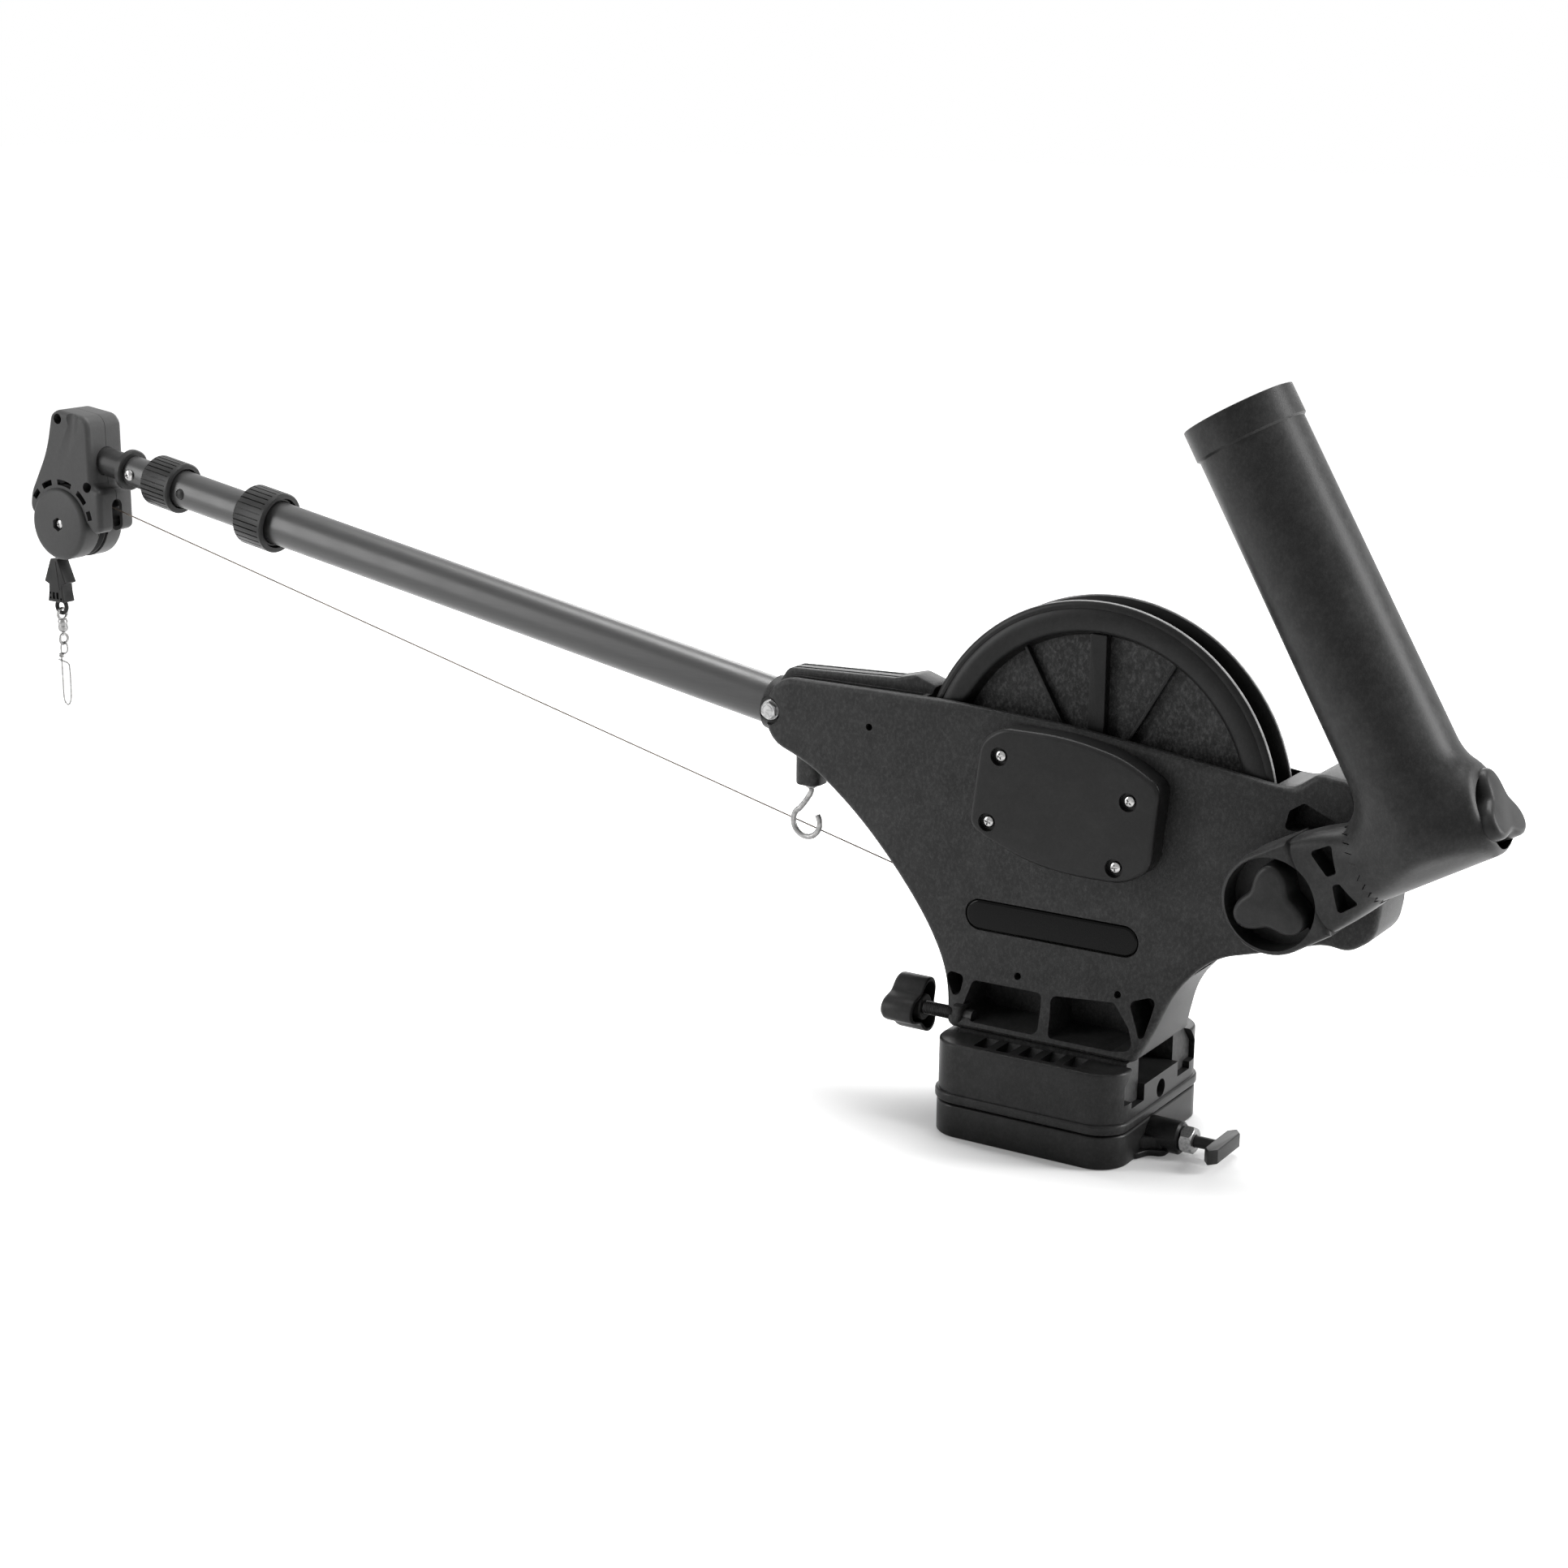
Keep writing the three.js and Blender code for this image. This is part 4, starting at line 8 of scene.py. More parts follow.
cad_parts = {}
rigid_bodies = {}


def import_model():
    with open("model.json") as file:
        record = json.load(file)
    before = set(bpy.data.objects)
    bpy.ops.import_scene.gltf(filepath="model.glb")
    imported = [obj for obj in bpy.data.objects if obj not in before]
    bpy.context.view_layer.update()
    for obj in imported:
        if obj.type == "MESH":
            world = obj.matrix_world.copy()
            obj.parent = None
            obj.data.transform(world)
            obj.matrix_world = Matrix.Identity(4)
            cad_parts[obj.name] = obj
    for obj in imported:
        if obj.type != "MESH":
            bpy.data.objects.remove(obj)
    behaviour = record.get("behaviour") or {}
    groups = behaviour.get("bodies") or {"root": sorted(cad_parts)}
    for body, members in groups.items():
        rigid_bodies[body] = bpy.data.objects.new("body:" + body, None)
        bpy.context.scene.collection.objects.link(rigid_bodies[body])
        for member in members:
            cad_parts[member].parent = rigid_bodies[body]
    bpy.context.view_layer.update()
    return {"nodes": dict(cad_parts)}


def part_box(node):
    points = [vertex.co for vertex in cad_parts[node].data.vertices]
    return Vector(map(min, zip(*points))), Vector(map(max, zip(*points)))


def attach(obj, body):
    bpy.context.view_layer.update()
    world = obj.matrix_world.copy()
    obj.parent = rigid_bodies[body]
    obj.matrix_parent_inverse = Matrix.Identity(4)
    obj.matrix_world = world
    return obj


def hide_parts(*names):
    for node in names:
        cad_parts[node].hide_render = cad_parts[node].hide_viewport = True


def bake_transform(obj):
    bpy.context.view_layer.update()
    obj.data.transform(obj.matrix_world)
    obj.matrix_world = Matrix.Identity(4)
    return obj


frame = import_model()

scene = bpy.context.scene

# Camera at the photograph's viewpoint: a little above the reel, ahead of the cover side and
# off towards the rod holder. It was fitted to the boom, the reel and the base.
camera = bpy.data.objects.new("camera", bpy.data.cameras.new("camera"))
scene.collection.objects.link(camera)
right = Vector((0.843795, 0.536633, 0.005923))
up = Vector((-0.141985, 0.212585, 0.966772))
camera.matrix_world = Matrix.Translation((0.67204, -1.36599, 0.59968)) @ Matrix(
    (right, up, right.cross(up))).transposed().to_4x4()
film, focal_pixels, picture_pixels = 36, 3450.1, 1932
camera.data.sensor_width = film
camera.data.lens = film * focal_pixels / picture_pixels
camera.data.clip_end = 30
scene.camera = camera

# Pale floor and surroundings of the product shot. The camera and glossy surfaces see white, and
# the floor takes the soft shadow round the base, deepened by painted shadow near the foot.
def add(tree, kind, inputs=None, **settings):
    """A shader node. An input takes a value, a socket, or the first output of another node."""
    made = tree.nodes.new("ShaderNode" + kind)
    for name, value in settings.items():
        setattr(made, name, value)
    for name, value in (inputs or {}).items():
        if isinstance(value, bpy.types.Node):
            value = value.outputs[0]
        if isinstance(value, bpy.types.NodeSocket):
            tree.links.new(value, made.inputs[name])
        else:
            made.inputs[name].default_value = value
    return made


def seen_directly(tree):
    """1 for the rays that are to see white: from the camera, off gloss and through glass."""
    rays = add(tree, "LightPath")
    seen = rays.outputs["Is Camera Ray"]
    for kind in ("Is Transmission Ray", "Is Glossy Ray"):
        seen = add(tree, "Math", {0: seen, 1: rays.outputs[kind]}, operation="MAXIMUM")
    return seen


white_light = (1, 1, 1, 1)
room = bpy.data.worlds.new("room")
scene.world = room
room.use_nodes = True
sky = room.node_tree
sky.nodes.clear()
daylight = add(sky, "Background", {"Color": white_light, "Strength": 0.06})
paper = add(sky, "Background", {"Color": white_light, "Strength": 1})
either = add(sky, "MixShader", {0: seen_directly(sky), 1: daylight, 2: paper})
add(sky, "OutputWorld", {"Surface": either})

ground = bmesh.new()
bmesh.ops.create_grid(ground, x_segments=1, y_segments=1, size=12)
floor = bpy.data.objects.new("floor", bpy.data.meshes.new("floor"))
ground.to_mesh(floor.data)
scene.collection.objects.link(floor)
floor.location.z = -0.0002
pale = bpy.data.materials.new("pale floor")
pale.use_nodes = True
paint = pale.node_tree
paint.nodes.clear()
spot = add(paint, "TexCoord").outputs["Object"]
away = add(paint, "VectorMath", {0: spot}, operation="LENGTH")
# Painted shadow: the floor's glow is weakest near the foot and grows outwards, darkening the floor round the
# base.
painted_shadow_ramp = add(paint, "MapRange", {0: away.outputs["Value"], 1: 0.06, 2: 0.27, 3: 0.12, 4: 1.0})
matt = add(paint, "BsdfDiffuse", {"Color": (0.7, 0.7, 0.7, 1)})
glow = add(paint, "Emission", {"Color": white_light, "Strength": painted_shadow_ramp})
lifted = add(paint, "AddShader", {0: matt, 1: glow})
either = add(paint, "MixShader", {0: seen_directly(paint), 1: matt, 2: lifted})
add(paint, "OutputMaterial", {"Surface": either})
floor.data.materials.append(pale)

# Studio lamps: a wide soft box overhead, a tall one on the boom's side, a narrow strong one behind
# the rod holder for the bright rims, and a wide weak one behind the object.
lit_point = Vector((-0.2, 0, 0.2))
for name, size, place, power in (
        ("overhead", (1.6, 0.6), (-0.2, 0.35, 1.7), 40),
        ("boom side", (0.7, 1.4), (-1.7, -1.3, 0.8), 24),
        ("rim", (0.5, 1.5), (1.6, 0.7, 0.75), 46),
        ("behind", (1.6, 0.6), (-0.7, 1.8, 0.9), 14)):
    lamp = bpy.data.objects.new(name, bpy.data.lights.new(name, "AREA"))
    lamp.data.shape = "RECTANGLE"
    lamp.data.size, lamp.data.size_y = size
    lamp.data.energy = power
    lamp.location = place
    lamp.rotation_euler = (lit_point - Vector(place)).to_track_quat("-Z", "Y").to_euler()
    scene.collection.objects.link(lamp)
scene.view_settings.view_transform = "Standard"

# Mount base: a thick moulded plate that is bolted at its corners from below, with a boss at the
# rear for the lock pin. It is black glass-filled nylon, satin, with faint clouds from the mould.
def rounded(corners, radius, steps=6):
    """An outline whose corners are arcs; each arc starts within half a side. A corner's third
    number, if it has one, is its own radius."""
    ring, spots = [], [Vector(c[:2]) for c in corners]
    for i, corner in enumerate(spots):
        back, ahead = spots[i - 1] - corner, spots[(i + 1) % len(spots)] - corner
        half = back.angle(ahead, pi) / 2
        own = corners[i][2] if len(corners[i]) > 2 else radius
        reach = min(own / max(tan(half), 0.05), back.length * 0.49, ahead.length * 0.49)
        if reach < 0.02 or half > 1.56:
            ring.append(corner)
            continue
        start, end = corner + back.normalized() * reach, corner + ahead.normalized() * reach
        for k in range(steps + 1):
            t = k / steps
            a, b, c = (1 - t) ** 2, 2 * t * (1 - t) * sin(half), t * t
            ring.append((start * a + corner * b + end * c) / (a + b + c))
    return ring


def rectangle(x0, x1, y0, y1):
    return [(x0, y0), (x1, y0), (x1, y1), (x0, y1)]


def polar(radius, angle, centre=(0, 0)):
    return (centre[0] + radius * cos(angle), centre[1] + radius * sin(angle))


def placed(axis, u, v, along):
    return {"x": (along, u, v), "y": (u, along, v), "z": (u, v, along)}[axis]


def sewn(bm, gap):
    """Joins the points that meet and turns every face outwards."""
    bmesh.ops.remove_doubles(bm, verts=bm.verts, dist=gap)
    bmesh.ops.recalc_face_normals(bm, faces=bm.faces)
    return bm


def slab(ring, low, high, axis="y", edge=0, segments=3, far_edge=None):
    """An outline pushed along an axis, with rounded rims."""
    bm = bmesh.new()
    face = bm.faces.new([bm.verts.new(placed(axis, p[0], p[1], low)) for p in ring])
    pushed = bmesh.ops.extrude_face_region(bm, geom=[face])["geom"]
    top = [v for v in pushed if isinstance(v, bmesh.types.BMVert)]
    bmesh.ops.translate(bm, vec=placed(axis, 0, 0, high - low), verts=top)
    sewn(bm, 0.01)
    k = "xyz".index(axis)
    far_edge = edge if far_edge is None else far_edge
    for amount, level in ((edge, low), (far_edge, high)):
        rim = [e for e in bm.edges if all(abs(v.co[k] - level) < 1e-4 for v in e.verts)]
        if amount:
            bmesh.ops.bevel(bm, geom=rim, offset=amount, offset_type="OFFSET", segments=segments,
                            profile=0.5, affect="EDGES", material=-1, clamp_overlap=True)
    return bm


def turned(profile, axis="z", at=(0, 0), steps=64):
    """A profile of (radius, height) points spun round an axis; it closes on itself or on the axis."""
    bm = bmesh.new()
    line = [bm.verts.new(placed(axis, r + at[0], at[1], h)) for r, h in profile]
    rungs = [bm.edges.new(pair) for pair in zip(line, line[1:])]
    if profile[0][0] > 1e-6 or profile[-1][0] > 1e-6:
        rungs.append(bm.edges.new((line[-1], line[0])))
    bmesh.ops.spin(bm, geom=line + rungs, cent=placed(axis, at[0], at[1], 0),
                   axis=placed(axis, 0, 0, 1), angle=tau, steps=steps, use_merge=True)
    return sewn(bm, 1e-4)


def rod(axis, low, high, at, radius, steps=48, edge=0):
    """A plain round bar with slightly broken ends."""
    e = edge or min(0.01, radius / 4)
    return turned([(0, low), (radius - e, low), (radius, low + e), (radius, high - e),
                   (radius - e, high), (0, high)], axis, at, steps)


def block(low, high, edge=0, segments=2):
    ring = rectangle(low[0], high[0], low[1], high[1])
    return slab(ring, low[2], high[2], "z", edge, segments)


def loose(bm):
    mesh = bpy.data.meshes.new("blank")
    bm.to_mesh(mesh)
    bm.free()
    return bpy.data.objects.new("blank", mesh)


def carved(body, *tools, how="DIFFERENCE"):
    """One solid with others taken out of it, joined to it, or cut to where they overlap."""
    shelf = bpy.data.collections.new("shelf")
    scene.collection.children.link(shelf)
    blank = loose(body)
    scene.collection.objects.link(blank)
    for tool in tools:
        shelf.objects.link(loose(tool))
    work = blank.modifiers.new("carve", "BOOLEAN")
    work.operation, work.solver, work.operand_type = how, "EXACT", "COLLECTION"
    work.collection = shelf
    result = bmesh.new()
    result.from_object(blank, bpy.context.evaluated_depsgraph_get())
    for spent in [blank, *shelf.objects]:
        bpy.data.objects.remove(spent)
    bpy.data.collections.remove(shelf)
    bmesh.ops.remove_doubles(result, verts=result.verts, dist=0.002)
    return result


def joined(*bodies):
    return carved(*bodies, how="UNION")


def together(*bodies):
    """Several solids in one piece, each left as it is."""
    whole = bodies[0]
    for extra in bodies[1:]:
        mesh = bpy.data.meshes.new("extra")
        extra.to_mesh(mesh)
        extra.free()
        whole.from_mesh(mesh)
        bpy.data.meshes.remove(mesh)
    return whole


millimetre = 0.001


def in_scene(name, bm, look):
    """A smooth piece in the scene, in metres, from a shape drawn in millimetres."""
    bmesh.ops.scale(bm, vec=[millimetre] * 3, verts=bm.verts)
    mesh = bpy.data.meshes.new(name)
    bm.to_mesh(mesh)
    bm.free()
    for polygon in mesh.polygons:
        polygon.use_smooth = True
    mesh.materials.append(look)
    piece = bpy.data.objects.new(name, mesh)
    scene.collection.objects.link(piece)
    return piece


def fit(name, bm, body, nodes, look, sharp=32, soften=0.0):
    """Puts a finished piece on its CAD body in place of its nodes."""
    piece = in_scene(name, bm, look)
    piece.data.set_sharp_from_angle(angle=radians(sharp))
    if soften:
        rim = piece.modifiers.new("worn edges", "BEVEL")
        rim.width, rim.segments, rim.limit_method = soften * millimetre, 2, "ANGLE"
        rim.angle_limit = radians(40)
        rim.harden_normals = True
    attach(piece, body)
    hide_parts(*nodes)
    return piece


def group(name, **inputs):
    """A node group with these inputs. Out of it come a colour, a roughness and a height."""
    tree = bpy.data.node_groups.new(name, "ShaderNodeTree")
    for title, value in inputs.items():
        kind = "NodeSocketColor" if isinstance(value, tuple) else "NodeSocketFloat"
        tree.interface.new_socket(title, in_out="INPUT", socket_type=kind).default_value = value
    for title, kind in (("Colour", "NodeSocketColor"), ("Roughness", "NodeSocketFloat"),
                        ("Height", "NodeSocketFloat")):
        tree.interface.new_socket(title, in_out="OUTPUT", socket_type=kind)
    return tree, tree.nodes.new("NodeGroupInput").outputs


def hand_out(tree, **made):
    """Links what a group makes to its outputs."""
    out = tree.nodes.new("NodeGroupOutput")
    for title, socket in made.items():
        tree.links.new(socket, out.inputs[title])


def grey(level, warmth=0.0):
    return (level * (1 + warmth), level, level * (1 - warmth), 1)


# Moulded nylon: clouds and short pale fibre streaks in the colour, and a fine matt grain
nylon, given = group("moulded nylon", Colour=grey(0.05), Pale=grey(0.1), Streaks=0.5, Clouds=0.5,
                     Roughness=0.5, Grain=0.5)
place = add(nylon, "TexCoord").outputs["Object"]
slant = add(nylon, "Mapping", {"Vector": place, "Rotation": (0.3, 0.7, 0.2), "Scale": (1, 1, 0.7)})
fibres = add(nylon, "TexNoise", {"Vector": slant, "Scale": 520, "Detail": 6,
             "Roughness": 0.7})
spread = add(nylon, "MapRange", {0: fibres, 1: 0.46, 2: 0.7})
clouds = add(nylon, "TexNoise", {"Vector": place, "Scale": 75, "Detail": 7, "Roughness": 0.7})
cloudy = add(nylon, "MapRange", {0: clouds, 1: 0.4, 2: 0.75})
streak = add(nylon, "Math", {0: spread, 1: given["Streaks"]}, operation="MULTIPLY")
cloud = add(nylon, "Math", {0: cloudy, 1: given["Clouds"]}, operation="MULTIPLY")
paleness = add(nylon, "Math", {0: streak, 1: cloud}, operation="ADD",
               use_clamp=True)
tint = add(nylon, "Mix", {0: paleness, 6: given["Colour"], 7: given["Pale"]},
           data_type="RGBA")
rough = add(nylon, "Math", {0: paleness, 1: 0.12, 2: given["Roughness"]},
            operation="MULTIPLY_ADD")
pits = add(nylon, "TexNoise", {"Vector": place, "Scale": 1900, "Detail": 2})
depth = add(nylon, "Math", {0: pits, 1: given["Grain"]}, operation="MULTIPLY")
hand_out(nylon, Colour=tint.outputs[2], Roughness=rough.outputs[0], Height=depth.outputs[0])


def finish(name, slot, tree, metallic=0.0, bump=0.0001, specular=0.14, **values):
    """A material whose colour, roughness and height come from one of the finish groups."""
    look = bpy.data.materials.new(name)
    look.use_nodes = True
    look["slot"] = slot
    surface = look.node_tree.nodes["Principled BSDF"]
    made = add(look.node_tree, "Group", node_tree=tree)
    for title, value in values.items():
        made.inputs[title].default_value = value
    look.node_tree.links.new(made.outputs["Colour"], surface.inputs["Base Color"])
    look.node_tree.links.new(made.outputs["Roughness"], surface.inputs["Roughness"])
    if bump:
        relief = add(look.node_tree, "Bump", {"Height": made.outputs["Height"], "Distance": bump})
        look.node_tree.links.new(relief.outputs[0], surface.inputs["Normal"])
    surface.inputs["Metallic"].default_value = metallic
    surface.inputs["Specular IOR Level"].default_value = specular
    return look


def moulded(name, slot, dark, pale, streaks, clouds, roughness, grain, **more):
    """Nylon between a dark and a pale colour, with its streaks, clouds, roughness and grain."""
    return finish(name, slot, nylon, Colour=dark, Pale=pale, Streaks=streaks, Clouds=clouds,
                  Roughness=roughness, Grain=grain, **more)


base_black = moulded("black nylon", "dark_plastic", grey(0.009), grey(0.03), streaks=0.25, clouds=0.4,
                     roughness=0.3, grain=0.4)

pin_axis = (-11, 9.8)
base_ring = rounded(rectangle(-59.5, 59.5, -60, 60), 18.6, 10)
plate = slab(base_ring, 0, 19.5, "z", 1.4)
boss = rod("x", 44, 78.5, pin_axis, 9.5, 48, 1.2)
low_ring = [(50, -34), (60, -34), (64, -24), (72, -21.5), (72, -0.5), (64, 2), (60, 12), (50, 12)]
high_ring = [(50, -26), (60, -26), (66, -20.3), (70, -20.3), (70, -1.7), (66, -1.7), (60, 4), (50, 4)]
body = joined(plate, boss, slab(rounded(low_ring, 5), 0.4, 4.2, "z", 0.8),
              slab(rounded(high_ring, 4), 0.4, 11, "z", 1.5))
body = carved(body, rod("z", 8.5, 24, (0, 0), 30.6), rod("z", 3.2, 12, (0, 0), 6.3),
              rod("x", 15, 60, pin_axis, 4.5), rod("x", 36, 73, pin_axis, 6.7),
              rod("x", 60, 90, pin_axis, 3.7))
fit("mount_base_plate", body, "mount", ["mount_base"], base_black, soften=0.25)

# Swivel base: a nylon block that turns on the mount base, with a lip round its foot, dovetail
# channels for the frame's runners, a middle block with a moulded hole, and coring pockets.
def span(side, near, far):
    """The ends of a stretch on one side of the middle plane, the lower one first."""
    return sorted((side * near, side * far))


def swung(bm, angle, axis):
    """A piece turned about one of the main axes."""
    bmesh.ops.rotate(bm, cent=(0, 0, 0), matrix=Matrix.Rotation(angle, 3, axis), verts=bm.verts)
    return bm


swivel_black = moulded("swivel nylon", "frame_plastic", grey(0.012), grey(0.04), streaks=0.3, clouds=0.4,
                       roughness=0.33, grain=0.5)
lip = slab(rounded(rectangle(-60.25, 60.25, -60.75, 60.75), 18.6, 10), 20.4, 26.3, "z", 1.5)
hub = rod("z", 9.8, 24, (0, 0), 30)
main_block = slab(rounded(rectangle(-58.9, 58.9, -59.4, 59.4), 18.6, 10), 22, 55.7, "z", 0.4, 3, 1.6)
body = joined(main_block, lip, hub)
channel = ((22, 60), (22, 31.9), (38, 31.9), (38, 35.9), (46, 35.9), (46, 46.7), (38.3, 55.4), (38.3, 60))
tools = []
for side in (1, -1):
    tools.append(slab([(side * y, z) for y, z in channel], -50.5, 64, "x"))
    for x in (-28, -14, 0, 14, 28):
        pocket = rectangle(x - 4.25, x + 4.25, *span(side, 37.7, 54.4))
        tools.append(slab(rounded(pocket, 1.2), 50.7, 60, "z"))
tools += [block((-50.5, -22.3, 41.2), (64, 22.3, 60)), rod("z", 5, 45, (0, 0), 6.3),
          rod("z", 32.7, 45, (0, 0), 9.3), rod("x", 50.5, 70, (0, 32.2), 5.4)]
notches = 12
tools += [swung(block((23, -15.8, 5), (34, -6.2, 14.6)), tau * i / notches, "Z") for i in range(notches)]
body = carved(body, *tools)
fit("swivel_base_block", body, "frame", ["swivel_base"], swivel_black, soften=0.3)

# Swivel bolt: a plated socket-head screw on the base's axis, which holds the block down.
plated, given = group("zinc plating", Colour=grey(0.6), Dull=grey(0.4), Roughness=0.3)
place = add(plated, "TexCoord").outputs["Object"]
flecks = add(plated, "TexNoise", {"Vector": place, "Scale": 520, "Detail": 4, "Roughness": 0.65})
tarnish = add(plated, "MapRange", {0: flecks, 1: 0.4, 2: 0.7})
tint = add(plated, "Mix", {0: tarnish, 6: given["Colour"], 7: given["Dull"]},
           data_type="RGBA")
rough = add(plated, "Math", {0: tarnish, 1: 0.18, 2: given["Roughness"]},
            operation="MULTIPLY_ADD")
hand_out(plated, Colour=tint.outputs[2], Roughness=rough.outputs[0], Height=flecks.outputs[0])


def plating(name, slot, bright, dull, roughness, metallic=1.0, bump=0):
    """Metal between a bright and a dull colour."""
    return finish(name, slot, plated, metallic, bump, specular=0.5, Colour=bright, Dull=dull,
                  Roughness=roughness)


zinc = plating("zinc plated steel", "zinc_steel", grey(0.34), grey(0.18), 0.3)
polished = plating("polished steel", "bright_steel", grey(0.38, 0.01), grey(0.24), 0.16)
wire_steel = plating("drawn steel wire", "bright_steel", grey(0.26, 0.01), grey(0.13), 0.3)
dark_zinc = plating("black zinc plating", "zinc_steel", grey(0.04), grey(0.02), 0.36, metallic=0.6)


def hexagon(across, at=(0, 0), turn=0.5):
    corner = across / sqrt(3)
    return [polar(corner, (i + turn) * tau / 6, at) for i in range(6)]


bolt = turned([(0, 3.6), (5.4, 3.6), (6, 4.2), (6, 33.3), (9, 33.3), (9, 39.4), (8.3, 40), (0, 40)])
bolt = carved(bolt, slab(hexagon(8), 36.5, 44, "z"))
fit("swivel_bolt_screw", bolt, "mount", ["swivel_bolt"], zinc)

# Lock pin: a spring pin with a wedge-ended bar for a handle, and a plated jam nut on the boss.
knob_black = moulded("satin nylon", "dark_plastic", grey(0.02), grey(0.045), streaks=0.12, clouds=0.5,
                     roughness=0.36, grain=0.35)
pin = joined(rod("x", 30.4, 49, pin_axis, 4.2, 32, 0.8), rod("x", 48, 50.3, pin_axis, 6.4, 32),
             rod("x", 49, 100, pin_axis, 3.4, 32))
bar = slab(rounded([(98.3, -26), (102.3, -31), (106.3, -26), (106.3, 4), (102.3, 9), (98.3, 4)], 0.8, 3),
           5.6, 14, "z", 0.8)
fit("lock_pin_handle", joined(pin, bar), "lock_pin", ["lock_pin"], knob_black, soften=0.2)


def hex_nut(axis, low, high, at, across, bore):
    """A hexagon nut with its corners turned off at both ends."""
    c = across / sqrt(3)
    blank = slab([(p[0] + at[0], p[1] + at[1]) for p in hexagon(across)], low, high, axis)
    dome = turned([(0, low), (across / 2 - 0.2, low), (c + 0.1, low + c * 0.16), (c + 0.1, high - c * 0.16),
                   (across / 2 - 0.2, high), (0, high)], axis, at, 48)
    nut = carved(blank, dome, how="INTERSECT")
    return carved(nut, rod(axis, low - 2, high + 2, at, bore, 32)) if bore else nut


fit("lock_pin_jam_nut", hex_nut("x", 78.9, 86.2, pin_axis, 14, 3.75), "mount", ["lock_pin_nut"], zinc)

# Frame: one large nylon moulding. A slab 40 mm thick flares into a foot with windows, holds the
# boom's socket at the front and the rod holder's ear at the rear, and is open above for the reel.
frame_grey = moulded("fibre nylon", "frame_plastic", grey(0.017), grey(0.075), streaks=0.5, clouds=0.3,
                     roughness=0.42, grain=0.9)
shares = [(0.3655, 0.0, 6), (0.343, 0.145, 400), (0.298, 0.31, 400), (0.2411, 0.464, 400),
          (0.1802, 0.598, 400), (0.099, 0.733, 150), (0.009, 0.8, 20), (0.033, 1.0, 20), (0.3325, 1.001, 400),
          (0.5203, 0.979, 400), (0.6853, 0.938, 400), (0.8376, 0.8925, 90), (0.864, 0.8925, 12),
          (0.896, 0.944, 9), (0.9492, 0.932, 11), (0.966, 0.8, 200), (0.997, 0.6, 60), (0.9873, 0.485, 16),
          (0.9518, 0.433, 14), (0.9175, 0.445, 60), (0.8274, 0.383, 400), (0.769, 0.348, 400),
          (0.736, 0.297, 400), (0.701, 0.208, 400), (0.681, 0.086, 400), (0.665, 0.0, 6)]
frame_front, frame_foot, frame_length, frame_height = -204, 56.9, 394, 185.6
corners = [(frame_front + frame_length * back, frame_foot + frame_height * rise, radius)
           for back, rise, radius in shares]
frame_slab = slab(rounded(corners, 14, 6), -20, 20, "y", 3.8, 5)
for axis, cuts in (("z", range(59, 119, 3)), ("x", (-202, -199, -196, -192, -187, -181))):
    for cut in cuts:
        whole = frame_slab.verts[:] + frame_slab.edges[:] + frame_slab.faces[:]
        bmesh.ops.bisect_plane(frame_slab, geom=whole, plane_co=placed(axis, 0, 0, cut),
                               plane_no=placed(axis, 0, 0, 1))
flare_height, flare_share, nose_start, nose_length = 62, 0.95, -180, 22
for v in frame_slab.verts:
    low = max(0.0, 1 - (v.co.z - frame_foot) / flare_height)
    v.co.y *= 1 + flare_share * low ** 2.7
    nose = max(0.0, (nose_start - v.co.x) / nose_length)
    v.co.y *= sqrt(max(0.1, 1 - 0.3 * nose * nose))


def laid(bm, at, tilt):
    """A piece tilted about Y by some degrees and moved to its place in the side view."""
    matrix = Matrix.Translation((at[0], 0, at[1])) @ Matrix.Rotation(radians(tilt), 4, "Y")
    bmesh.ops.transform(bm, matrix=matrix, verts=bm.verts)
    return bm


boom_bolt, boom_rise = (-193.2, 220.9), 10.2


def boom_piece(bm):
    """Lays a piece made with its length along X from the boom's bolt onto the boom's rising line."""
    return laid(bm, boom_bolt, boom_rise)


socket = boom_piece(rod("x", -8, 93, (0, 0), 16.6, 64, 1.5))
hook_boss = slab(rounded(rectangle(-180.6, -164, -11.6, 5), 6, 6), 176.5, 200, "z", 1.2)
spine = [(-196, 231), (-82, 231), (-86, 247.6), (-100, 252.2), (-114, 248.6), (-186, 246)]
body = joined(frame_slab, socket, hook_boss, slab(rounded(spine, 6, 5), -9, 9, "y", 2.2, 4))
reel_axis, holder_pivot, stud_axis, hook_axis = (15.7, 198.8), (141, 169), (-30, 62.8), (-172.3, -3.4)
tools = [boom_piece(rod("x", -30, 93.3, (0, 0), 14.6, 64)),
         rod("y", -16, 16, reel_axis, 113, 128),
         rod("y", -30, 30, reel_axis, 10.3, 48),
         rod("y", -30, 30, boom_bolt, 3.5, 24),
         rod("y", -30, -15, boom_bolt, 8.5, 48), rod("y", 15, 30, boom_bolt, 8.5, 48),
         rod("y", -30, 30, holder_pivot, 4.3, 32),
         rod("x", -153, -44, stud_axis, 4.3, 32),
         rod("z", 160, 188, hook_axis, 2.35, 24),
         slab([(-153, 62.2), (0, 99.7), (0, 113.7), (-153, 151.2)], -4.5, 4.5, "y"),
         rod("y", -30, -13, (-11.3, 190.8), 2.3, 24),
         rod("y", 13, 30, (-124, 212), 3.2, 24)]
tools.append(slab(rounded(rectangle(-57.8, 50.8, 111.7, 130.3), 9.2, 10), -23, -18.1, "y"))
screws = [(-31.52, 219.02), (-38.18, 180.33), (47.62, 204.59), (40.62, 166.34)]
tools += [rod("y", -30, -13, at, 1.9, 24) for at in screws]
tools += [rod("y", -34, -12, at, 2.1, 32) for at in ((-123.5, 220.6), (-22, 89.6), (40.4, 90.4))]
